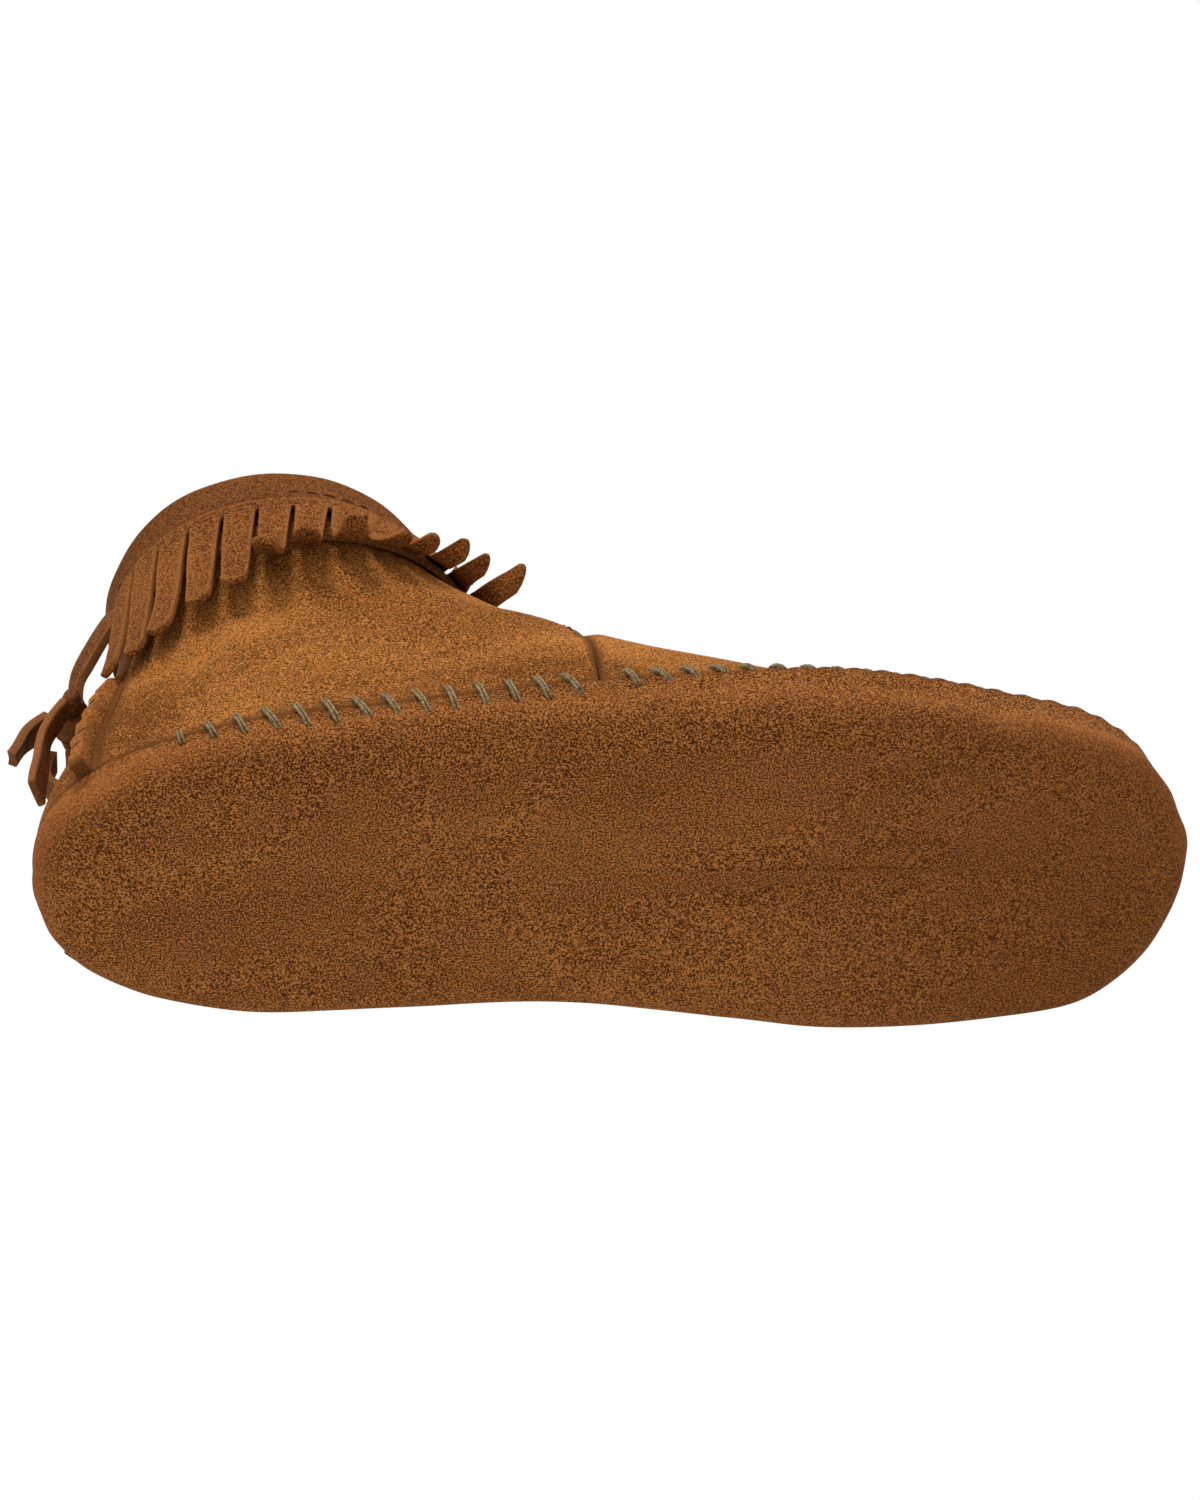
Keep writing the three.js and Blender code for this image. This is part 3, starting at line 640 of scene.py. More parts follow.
def lap_corners(last: Last) -> tuple[float, float]:
    """The places on the outer and inner sides where the quarter's front edge meets the seam.

    Args:
        last: the foot form.

    Returns:
        The outer and the inner place, as shares of the way round.
    """
    t = np.linspace(0.1, 0.5, 4001)
    outer = t[np.argmax(last.seam(t)[:, 0] > last.lap_start_x)]
    t = np.linspace(0.9, 0.5, 4001)
    inner = t[np.argmax(last.seam(t)[:, 0] > last.lap_start_x)]
    return float(outer), float(inner)


# ------------------------------------------------------------------ finishes


class Graph:
    """Adds nodes to a tree and links them."""

    def __init__(self, tree: bpy.types.NodeTree) -> None:
        """Works on this tree."""
        self.tree = tree

    def add(self, kind: str, inputs: dict | None = None, **settings: object) -> bpy.types.Node:
        """Adds a node.

        Args:
            kind: the node's type.
            inputs: sockets by name or number, each with a value or the socket that feeds it.
            settings: the node's own properties.

        Returns:
            The node.
        """
        node = self.tree.nodes.new(kind)
        for name, value in settings.items():
            setattr(node, name, value)
        for key, value in (inputs or {}).items():
            if isinstance(value, bpy.types.NodeSocket):
                self.tree.links.new(value, node.inputs[key])
            else:
                node.inputs[key].default_value = value
        return node

    def math(self, operation: str, *values: object) -> bpy.types.NodeSocket:
        """The result of a sum on sockets or numbers."""
        inputs = dict(enumerate(values))
        return self.add("ShaderNodeMath", inputs, operation=operation).outputs[0]


@dataclass(frozen=True)
class Suede:
    """Napped leather: short fibres that catch light in specks, clumps and brushed patches."""

    name: str
    dark: Colour
    middle: Colour
    light: Colour
    # Tints mixed in by the mesh marks: the first lightens real wear and raw edges and also paints highlights,
    # the second paints shade into seams, creases and hollows.
    worn: Colour
    painted_shade: Colour
    nap: float = 0.62
    clump: float = 2.4
    patch: float = 34.0
    nap_share: float = 1.5
    clump_share: float = 0.55
    patch_share: float = 0.9
    relief: float = 0.55
    sheen: float = 0.03

    def material(self) -> bpy.types.Material:
        """Builds the material.

        Returns:
            The material, which reads object coordinates and the two marks: wear with painted highlight, and
            painted shade.
        """
        material = bpy.data.materials.new(self.name)
        material.use_nodes = True
        tree = material.node_tree
        tree.nodes.clear()
        graph = Graph(tree)
        where = graph.add("ShaderNodeTexCoord").outputs["Object"]
        nap = self._noise(graph, where, self.nap, 2.5, 0.55, 0.3)
        clump = self._noise(graph, where, self.clump, 3.0, 0.6, 0.8)
        brushed = graph.add(
            "ShaderNodeMapping",
            {"Vector": where, "Rotation": (0.4, 0.3, 0.7), "Scale": (0.55, 1.5, 1.0)},
        ).outputs[0]
        patch = self._noise(graph, brushed, self.patch, 4.0, 0.55, 0.9)
        tone = graph.math("ADD", 0.5, self._share(graph, nap, self.nap_share))
        tone = graph.math("ADD", tone, self._share(graph, clump, self.clump_share))
        tone = graph.math("ADD", tone, self._share(graph, patch, self.patch_share))
        ramp = graph.add("ShaderNodeValToRGB", {"Fac": tone})
        ramp.color_ramp.interpolation = "LINEAR"
        stops = ramp.color_ramp.elements
        stops[0].position, stops[0].color = 0.08, (*self.dark, 1)
        stops[1].position, stops[1].color = 0.95, (*self.light, 1)
        centre = stops.new(0.5)
        centre.color = (*self.middle, 1)
        # Mix in wear with painted highlight, then painted shade, where the mesh marks say.
        shade = self._mark(graph, ramp.outputs["Color"], "worn", self.worn, nap)
        shade = self._mark(graph, shade, "painted_shade", self.painted_shade, nap)
        pile = graph.math("ADD", graph.math("MULTIPLY", nap, 1.0), graph.math("MULTIPLY", clump, 0.9))
        bump = graph.add("ShaderNodeBump", {"Strength": self.relief, "Distance": 0.0005, "Height": pile})
        rough = graph.add(
            "ShaderNodeMapRange",
            {"Value": clump, "From Min": 0.3, "From Max": 0.7, "To Min": 0.82, "To Max": 1.0},
        )
        shader = graph.add(
            "ShaderNodeBsdfPrincipled",
            {"Base Color": shade, "Roughness": rough.outputs[0], "Normal": bump.outputs[0]},
        )
        shader.inputs["Specular IOR Level"].default_value = 0.03
        shader.inputs["Sheen Weight"].default_value = self.sheen
        shader.inputs["Sheen Roughness"].default_value = 0.6
        shader.inputs["Sheen Tint"].default_value = (*self.light, 1)
        graph.add("ShaderNodeOutputMaterial", {"Surface": shader.outputs[0]})
        return material

    def _noise(
        self,
        graph: Graph,
        where: bpy.types.NodeSocket,
        size: float,
        detail: float,
        roughness: float,
        distortion: float,
    ) -> bpy.types.NodeSocket:
        """Noise whose features are about size millimetres wide.

        Args:
            graph: the graph that gets the node.
            where: the coordinates.
            size: the width of a feature, in millimetres.
            detail: how many finer layers are added.
            roughness: how strong the finer layers are.
            distortion: how far the features are bent.

        Returns:
            The noise.
        """
        scale = 1 / (size * MM)
        inputs = {"Vector": where, "Scale": scale, "Detail": detail, "Roughness": roughness}
        inputs["Distortion"] = distortion
        return graph.add("ShaderNodeTexNoise", inputs).outputs[0]

    def _share(self, graph: Graph, noise: bpy.types.NodeSocket, share: float) -> bpy.types.NodeSocket:
        """Noise about 0, scaled by share."""
        return graph.math("MULTIPLY", graph.math("SUBTRACT", noise, 0.5), share)

    def _mark(
        self,
        graph: Graph,
        base: bpy.types.NodeSocket,
        mark: str,
        tint: Colour,
        nap: bpy.types.NodeSocket,
    ) -> bpy.types.NodeSocket:
        """Mixes in a tint where the mesh carries a mark, with an edge broken up by the nap.

        Args:
            graph: the graph that gets the nodes.
            base: the colour so far.
            mark: the mesh attribute that says where.
            tint: the colour to mix in.
            nap: the noise that breaks up the edge.

        Returns:
            The mixed colour.
        """
        amount = graph.add("ShaderNodeAttribute", attribute_name=mark).outputs["Fac"]
        broken = graph.math("ADD", 0.6, graph.math("MULTIPLY", nap, 0.8))
        amount = graph.add("ShaderNodeMath", {0: amount, 1: broken}, operation="MULTIPLY", use_clamp=True)
        inputs = {0: amount.outputs[0], 6: base, 7: (*tint, 1)}
        return graph.add("ShaderNodeMix", inputs, data_type="RGBA").outputs[2]


@dataclass(frozen=True)
class Thread:
    """Waxed thread of twisted plies."""

    name: str
    dark: Colour
    light: Colour
    ply: float = 0.55

    def material(self) -> bpy.types.Material:
        """Builds the material.

        Returns:
            The material, whose plies are a fine noise in object coordinates.
        """
        material = bpy.data.materials.new(self.name)
        material.use_nodes = True
        tree = material.node_tree
        tree.nodes.clear()
        graph = Graph(tree)
        where = graph.add("ShaderNodeTexCoord").outputs["Object"]
        scale = 1 / (self.ply * MM)
        ply = graph.add("ShaderNodeTexNoise", {"Vector": where, "Scale": scale, "Detail": 2.0}).outputs[0]
        ramp = graph.add("ShaderNodeValToRGB", {"Fac": ply})
        stops = ramp.color_ramp.elements
        stops[0].position, stops[0].color = 0.35, (*self.dark, 1)
        stops[1].position, stops[1].color = 0.65, (*self.light, 1)
        bump = graph.add("ShaderNodeBump", {"Strength": 0.6, "Distance": 0.0002, "Height": ply})
        rough = graph.math("ADD", 0.45, graph.math("MULTIPLY", ply, 0.3))
        shader = graph.add(
            "ShaderNodeBsdfPrincipled",
            {"Base Color": ramp.outputs[0], "Roughness": rough, "Normal": bump.outputs[0]},
        )
        shader.inputs["Specular IOR Level"].default_value = 0.12
        graph.add("ShaderNodeOutputMaterial", {"Surface": shader.outputs[0]})
        return material


@dataclass
class Wardrobe:
    """Every finish of the shoe, made once."""

    upper: bpy.types.Material = field(init=False)
    sole: bpy.types.Material = field(init=False)
    trim: bpy.types.Material = field(init=False)
    thong: bpy.types.Material = field(init=False)
    lining: bpy.types.Material = field(init=False)
    foam: bpy.types.Material = field(init=False)
    thread: bpy.types.Material = field(init=False)
    machine_thread: bpy.types.Material = field(init=False)
    hole_shade: bpy.types.Material = field(init=False)

    def __post_init__(self) -> None:
        """Makes the materials."""
        # The fourth colour of each suede tints wear, raw edges and painted highlights, and the fifth tints
        # painted shade.
        self.upper = Suede(
            "upper_suede", colour(70, 38, 11), colour(119, 71, 28), colour(166, 107, 53),
            colour(154, 96, 48), colour(84, 48, 21), nap=0.42, nap_share=4.0, clump_share=0.3,
            patch_share=1.5, relief=0.7,
        ).material()
        self.sole = Suede(
            "sole_suede", colour(62, 31, 8), colour(114, 66, 27), colour(162, 104, 54),
            colour(150, 88, 44), colour(78, 42, 18), nap=0.4, clump=1.5, nap_share=6.2, clump_share=0.3,
            patch_share=0.6, relief=1.0,
        ).material()
        self.trim = Suede(
            "trim_suede", colour(56, 28, 9), colour(104, 59, 25), colour(144, 90, 44),
            colour(136, 84, 42), colour(70, 38, 16), nap=0.45, nap_share=3.2, clump_share=0.4,
            patch_share=0.6, relief=0.55,
        ).material()
        self.thong = Suede(
            "thong_suede", colour(62, 34, 17), colour(100, 60, 31), colour(140, 92, 54),
            colour(128, 82, 46), colour(52, 30, 16), nap=0.6, nap_share=1.5, relief=0.5,
        ).material()
        self.lining = Suede(
            "insole_suede", colour(104, 68, 38), colour(140, 98, 60), colour(176, 134, 92),
            colour(110, 76, 46), colour(90, 60, 36), nap=0.62, nap_share=1.3, relief=0.4,
        ).material()
        self.foam = Suede(
            "foam", colour(60, 56, 52), colour(78, 74, 70), colour(98, 94, 90),
            colour(78, 74, 70), colour(50, 46, 44), nap=1.2, nap_share=1.5, relief=0.5, sheen=0.0,
        ).material()
        self.thread = Thread("waxed_thread", colour(70, 54, 31), colour(140, 117, 80)).material()
        self.machine_thread = Thread("machine_thread", colour(92, 52, 22), colour(118, 70, 33)).material()
        # Painted shade for the needle holes: a very dark suede on small dots.
        self.hole_shade = Suede(
            "needle_hole_shade", colour(30, 15, 6), colour(42, 22, 9), colour(58, 32, 14),
            colour(42, 22, 9), colour(24, 12, 5), nap=0.4, sheen=0.0,
        ).material()


# ------------------------------------------------------------------ bottom piece and footbed


@dataclass
class BottomPiece:
    """The soft sole, which rolls up into a wall and ends at the seam."""

    last: Last
    columns: int = 640
    sole_rings: int = 12
    roll_steps: int = 12
    wall_steps: int = 10
    spine: float = 0.06
    stitch_pitch: float = 6.6
    scallop: float = 0.35
    lip: float = 0.45
    lip_rise: float = 2.0
    ground_ripple: float = 0.3
    wall_ripple: float = 0.45

    def _profile(self, t: np.ndarray, depth: float) -> np.ndarray:
        """One face of the piece as columns from the middle of the sole up to the seam.

        Args:
            t: shares of the way round, one for each column.
            depth: how far the face lies inside the outer one.

        Returns:
            The points, as columns of rows.
        """
        point, inward = self.last.wall(t)
        radius = self.last.edge_radius
        centre = point + inward * radius
        heart = centre * HEART
        rows = []
        for share in np.linspace(self.spine, 1, self.sole_rings) ** 0.8:
            ring = lerp(heart, centre, share)
            ring[:, 2] = depth
            rows.append(ring)
        for turn in np.linspace(0, math.pi / 2, self.roll_steps + 1)[1:]:
            ring = centre - inward * ((radius - depth) * math.sin(turn))
            ring[:, 2] = radius - (radius - depth) * math.cos(turn)
            rows.append(ring)
        top = self.last.seam(t) + inward * depth
        proud = smoothstep(top[:, 0], 5, 60)
        top[:, 2] += self._scallops(t) * (0.4 + proud) + self.lip_rise * proud
        low = rows[-1]
        for share in np.linspace(0, 1, self.wall_steps + 1)[1:]:
            ring = lerp(low, top, share)
            rows.append(ring - inward * (self.lip * smoothstep(share, 0.55, 0.95)))
        return np.stack(rows, 1)

    def _scallops(self, t: np.ndarray) -> np.ndarray:
        """How the stitches draw the top edge down between rises."""
        count = round(self.last.girth / self.stitch_pitch)
        return self.scallop * np.cos(2 * math.pi * count * t)

    def build(self, finish: bpy.types.Material) -> None:
        """Makes the piece.

        Args:
            finish: the sole's suede.
        """
        t = np.arange(self.columns) / self.columns
        front, back = self._profile(t, 0.0), self._profile(t, self.last.suede)
        rows = front.shape[1]
        _, inward = self.last.wall(t)
        height = front[..., 2]
        ripple = Ripple(16.0, 11).at(front) * self.wall_ripple * smoothstep(height, 2, 9)
        ripple = ripple * (1 - smoothstep(np.arange(rows) / (rows - 1), 0.8, 1))[None, :]
        push = inward[:, None, :] * ripple[..., None]
        waves = Ripple(42.0, 5).at(front) * self.ground_ripple * (1 - smoothstep(height, 0, 4))
        lift = np.zeros_like(front)
        lift[..., 2] = np.maximum(waves + 0.15, 0)
        # Lighter where the rolled edge is rubbed, most at the heel and toe.
        worn = smoothstep(height, 0.5, 6) * (1 - smoothstep(height, 11, 17))
        ends = smoothstep(np.abs(front[..., 0]) / self.last.length, 0.28, 0.47)
        # Painted shade along the top of the wall, in the seam.
        painted_shade = 2 * smoothstep(np.arange(rows) / (rows - 1), 0.94, 1.0)[None, :] * np.ones((len(t), 1))
        # Darker towards the toe on the ground and the low wall, where the rubbed edge also fades.
        toe_darkening = 0.4 * smoothstep(front[..., 0], 10, 115) * (1 - smoothstep(height, 5, 14))
        skin = Skin()
        marks = {"worn": worn * (0.06 + 0.42 * ends) * (1 - toe_darkening), "painted_shade": painted_shade * 0.3 + toe_darkening}
        f, b = skin.sheet(front + push + lift, back + push + lift, closed=True, open_low=True, marks=marks)
        skin.cap(f[:, 0], True)
        skin.cap(b[:, 0], False)
        place(skin.build("bottom_piece", edge=0.45), finish, Slot.SOLE, ["bottom"])


@dataclass
class Footbed:
    """The foam pad and the suede insole that covers it."""

    last: Last
    foam: float = 4.0
    insole: float = 1.4
    columns: int = 240
    rings: int = 8
    crown: float = 0.5
    pad_inset: float = 0.4
    cover_inset: float = 2.6

    def _layer(self, name: str, inset: float, low: float, thickness: float, crown: float) -> bpy.types.Object:
        """A level layer with rounded edges and a slightly crowned top.

        Args:
            name: the piece's name.
            inset: how far its edge lies inside the wall.
            low: the height of its underside.
            thickness: its thickness at the edge.
            crown: how much the middle rises.

        Returns:
            The layer, without a material.
        """
        t = np.arange(self.columns) / self.columns
        point, inward = self.last.wall(t)
        edge = point + inward * inset
        heart = edge * HEART
        round_off = thickness / 2
        rows = []
        for turn in np.linspace(-math.pi / 2, math.pi / 2, 9):
            ring = edge + inward * (round_off * (1 - math.cos(turn)))
            ring[:, 2] = low + round_off + round_off * math.sin(turn)
            rows.append(ring)
        rim = rows[-1]
        for share in np.linspace(0, 1, self.rings)[1:] * 0.94:
            ring = lerp(rim, heart, share)
            ring[:, 2] = low + thickness + crown * float(smoothstep(share, 0, 0.5))
            rows.append(ring)
        under = lerp(rows[0], heart, 0.94)
        under[:, 2] = low
        skin = Skin()
        grid = np.stack([under, *rows], 1)
        numbers = skin._add(grid, {})
        following = np.roll(numbers, -1, 0)
        skin._quads(numbers[:, :-1], following[:, :-1], following[:, 1:], numbers[:, 1:])
        skin.cap(numbers[:, 0], True)
        skin.cap(numbers[:, -1], False)
        return skin.build(name)

    def build(self, lining: bpy.types.Material, foam: bpy.types.Material) -> None:
        """Makes both layers.

        Args:
            lining: the insole's suede.
            foam: the pad's foam.
        """
        low = self.last.suede + self.last.gap
        inset = self.last.edge_radius + self.pad_inset
        pad = self._layer("foam_filling", inset, low + 0.3, self.foam - 0.5, 0.0)
        place(pad, foam, Slot.FOAM, ["foam_pad"])
        low = low + self.foam + self.last.gap + 0.1
        cover = self._layer("insole_cover", self.cover_inset, low, self.insole, self.crown)
        place(cover, lining, Slot.INSOLE, ["insole"])


# ------------------------------------------------------------------ upper


@dataclass
class Upper:
    """The quarter, the back panel and the plug, all cut from the same soft suede."""

    last: Last
    quarter_columns: int = 420
    rows: int = 64
    fillet: float = 1.3
    flange: float = 4.3
    flange_fade: tuple[float, float] = (47.0, 61.0)
    lap_width: float = 7.0
    dip_run: float = 7.0
    stitch_pitch: float = 6.6
    pucker: float = 0.55
    pucker_reach: float = 9.0

    def _flange_height(self, z: np.ndarray) -> np.ndarray:
        """How far the turned-out edge stands proud at each height."""
        ragged = 0.35 * np.sin(z * 0.9) + 0.2 * np.sin(z * 2.3 + 1)
        return np.maximum((self.flange + ragged) * (1 - smoothstep(z, *self.flange_fade)), 0.02)

    def _flange(self, t: float, shares: np.ndarray, outward: int) -> tuple[np.ndarray, np.ndarray]:
        """The columns that turn the sheet's end outwards.

        Args:
            t: the place where the sheet ends.
            shares: how far up the rows are.
            outward: 1 where the sheet ends at its higher t and -1 at its lower.

        Returns:
            Columns of the outer and the inner face, from the sheet to the tip.
        """
        ribs = Ribs(self.last, [t])
        point, normal, around, _ = (part[0] for part in ribs.frame(shares[None, :]))
        height = self._flange_height(point[:, 2])[:, None]
        bend = np.minimum(self.fillet, height * 0.6)
        thick = self.last.suede
        front, back = [], []
        for turn in np.linspace(0, math.pi / 2, 6):
            across = -thick - bend + bend * math.sin(turn)
            front.append(point + around * outward * across + normal * (bend * (1 - math.cos(turn))))
            across = -thick - bend + (bend + thick) * math.sin(turn)
            back.append(point + around * outward * across + normal * (bend - (bend + thick) * math.cos(turn)))
        for share in (0.5, 1.0):
            rise = lerp(bend, height, share)
            front.append(point - around * outward * thick + normal * rise)
            back.append(point + normal * rise)
        return np.stack(front), np.stack(back)

    def _rows(self, ribs: Ribs, low: np.ndarray) -> np.ndarray:
        """Shares up each rib from low to just under the rim."""
        high = ribs.below_rim(self.last.gap)
        return lerp(low[:, None], high, np.linspace(0, 1, self.rows)[None, :])

    def _relief(self, points: np.ndarray, shares: np.ndarray) -> np.ndarray:
        """How far the soft leather sinks or swells, fading out under the collar and at the seam.

        Args:
            points: points of the leather.
            shares: how far up the ribs they are.

        Returns:
            Millimetres outwards for each point.
        """
        soft = Ripple(38.0, 3).at(points) * 0.75 + Ripple(15.0, 4).at(points) * 0.22
        ankle = 0.5 * np.sin((points[..., 2] - 0.25 * points[..., 0]) / 4.2)
        ankle = ankle * smoothstep(points[..., 0], -40, -20) * (1 - smoothstep(points[..., 2], 66, 80))
        return (soft + ankle - 0.35) * smoothstep(shares, 0.02, 0.12) * (1 - smoothstep(shares, 0.55, 0.72))

    def _sheet(self, t: np.ndarray, low: np.ndarray, edges: tuple[float, float], relief: bool) -> Skin:
        """A sheet of leather between two turned-out edges.

        Args:
            t: shares of the way round, one for each column.
            low: where each column starts, as a share up its rib.
            edges: the places of the two turned-out edges.
            relief: whether the leather sinks and swells.

        Returns:
            The skin of the sheet.
        """
        ribs = Ribs(self.last, t)
        shares = self._rows(ribs, low)
        point, normal, _, _ = ribs.frame(shares)
        sway = self._relief(point, shares) if relief else np.zeros(shares.shape)
        fade = smoothstep(np.minimum(t - edges[0], edges[1] - t), 0.006, 0.03)
        front = point + normal * (sway * fade[:, None])[..., None]
        back = front - normal * self.last.suede
        low_front, low_back = self._flange(edges[0], shares[0], -1)
        high_front, high_back = self._flange(edges[1], shares[-1], 1)
        front = np.concatenate([low_front[::-1], front, high_front])
        back = np.concatenate([low_back[::-1], back, high_back])
        # Painted shade over the lowest rows, along the seam.
        base = 2 * smoothstep(-np.arange(self.rows), -3, 0)[None, :] * np.ones((len(front), 1))
        # Painted shade in the crease where the sheet turns out into its flange, fading out where the flange
        # ends.
        crease_shade = np.zeros(len(front))
        crease_shade[3:9], crease_shade[-9:-3] = 0.75, 0.75
        crease_shade[9:11], crease_shade[-11:-9] = 0.35, 0.35
        stands = 1 - smoothstep(front[..., 2], *self.flange_fade)
        # Lighter raw edges at the flanges' tips.
        worn = np.zeros(front.shape[:2])
        worn[:2], worn[-2:] = 0.4, 0.4
        skin = Skin()
        painted_shade = np.maximum(0.45 * base, crease_shade[:, None] * stands)
        skin.sheet(front, back, marks={"painted_shade": painted_shade, "worn": worn})
        return skin

    def build(self, finish: bpy.types.Material) -> None:
        """Makes the three pieces.

        Args:
            finish: the upper's suede.
        """
        outer, inner = lap_corners(self.last)
        share = self.last.panel_share
        corner = (self.fillet + self.last.suede) / self.last.girth * 1.15
        t = np.linspace(share + corner, 1 - share - corner, self.quarter_columns)
        ribs = Ribs(self.last, t)
        low = np.maximum(self.last.gap / ribs.length, ribs.lap())
        skin = self._sheet(t, low, (share, 1 - share), True)
        place(skin.build("quarter_suede", edge=0.4), finish, Slot.UPPER, ["quarter"])

        slit = 0.02 / self.last.girth
        t = np.linspace(-share + slit + corner, share - slit - corner, 40)
        ribs = Ribs(self.last, t)
        low = self.last.gap / ribs.length
        skin = self._sheet(t, low, (-share + slit, share - slit), False)
        place(skin.build("back_panel_suede", edge=0.4), finish, Slot.UPPER, ["back_panel"])
        self._build_plug(outer, inner, finish)

    def _build_plug(self, outer: float, inner: float, finish: bpy.types.Material) -> None:
        """The plug over the toes, which is gathered into the seam and runs on under the quarter.

        Args:
            outer: where the quarter's front edge meets the seam on the outer side.
            inner: where it does so on the inner side.
            finish: the upper's suede.
        """
        t = np.linspace(outer - 0.012, inner + 0.012, 400)
        ribs = Ribs(self.last, t)
        length = ribs.length[:, None]
        lap = ribs.lap()[:, None]
        _, normal, _, _ = ribs.frame(np.zeros((len(t), 1)))
        tilt = np.maximum(normal[..., 2], 0)
        low = (self.last.gap + self.last.suede * (tilt + 0.3)) / length
        high = np.maximum(lap, low) + (self.last.gap + self.lap_width) / length
        shares = lerp(low, high, np.linspace(0, 1, 52)[None, :])
        drop = (self.last.suede + self.last.gap) * smoothstep((shares - lap) * length, -self.dip_run, -0.3)
        run = (shares - low) * length
        count = round(self.last.girth / self.stitch_pitch)
        swell = np.cos(2 * math.pi * count * t)[:, None] * np.exp(-run / self.pucker_reach * 1.6)
        front_share = smoothstep(self.last.seam(t)[:, 0], 20, 60)[:, None]
        point, normal, _, _ = ribs.frame(shares)
        sway = Ripple(30.0, 8).at(point) * 0.4 * smoothstep(run, 2, 12) * (1 - smoothstep(drop, 0, 0.6))
        height = self.pucker * swell * (0.35 + 0.65 * front_share) + sway - drop
        front = point + normal * height[..., None]
        skin = Skin()
        # Painted shade along the seam and where the plug dips under the quarter's edge.
        shade = np.maximum(0.6 * (1 - smoothstep(run, 0.5, 4)), 0.9 * smoothstep(drop, 0.5, 1.6))
        # Painted highlight on the crests of the puckers.
        marks = {"painted_shade": shade, "worn": 0.25 * np.maximum(swell, 0)}
        skin.sheet(front, front - normal * self.last.suede, marks=marks)
        place(skin.build("plug_suede", edge=0.35), finish, Slot.UPPER, ["plug"])


# ------------------------------------------------------------------ collar and fringe


@dataclass
class Collar:
    """The folded binding over the rim."""

    last: Last
    binding: float = 1.2
    depth: float = 11.2
    clearance: float = 0.6
    columns: int = 260

    def build(self, finish: bpy.types.Material) -> None:
        """Makes the binding.

        Args:
            finish: the trim's suede.
        """
        t = np.arange(self.columns) / self.columns
        ribs = Ribs(self.last, t)
        front = self._fold(ribs, self.clearance + self.binding)
        back = self._fold(ribs, self.clearance)
        wave = Ripple(20.0, 21).at(front) * 0.22
        front = front + unit(front - back) * wave[..., None]
        skin = Skin()
        # The collar is a little darker all over, with painted shade along the lower edge of the outside,
        # where the fringe meets it.
        edge = np.full(front.shape[:2], 0.35)
        edge[:, 0], edge[:, 1] = 0.8, 0.6
        rows = np.arange(front.shape[1])
        # Painted highlight along the top of the fold over the rim.
        ridge = np.exp(-(((rows - rows.mean()) / 4.0) ** 2))[None, :] * np.ones((len(t), 1))
        skin.sheet(front, back, closed=True, marks={"painted_shade": edge, "worn": 0.35 * ridge})
        place(skin.build("collar_suede", edge=0.3), finish, Slot.TRIM, ["collar_band"])

    def _fold(self, ribs: Ribs, reach: float) -> np.ndarray:
        """A line up the outside, round the rim and down the inside.

        Args:
            ribs: the ribs, one for each column.
            reach: how far the line lies off the leather.

        Returns:
            The points, as columns of rows.
        """
        drops = np.linspace(self.depth, 0.6, 12)
        outside = ribs.at(ribs.below_rim(drops), reach)
        inside = ribs.at(ribs.below_rim(drops[::-1]), -self.last.suede - reach)
        point, normal, _, _ = (part[:, 0] for part in ribs.frame(ribs.below_rim(0.6)))
        centre = point - normal * (self.last.suede / 2)
        radius = reach + self.last.suede / 2
        above = np.array([0, 0, 1])
        turns = [
            centre + normal * (radius * math.cos(turn)) + above * (0.85 * radius * math.sin(turn))
            for turn in np.linspace(0, math.pi, 12)[1:-1]
        ]
        return np.concatenate([outside, np.stack(turns, 1), inside], 1)


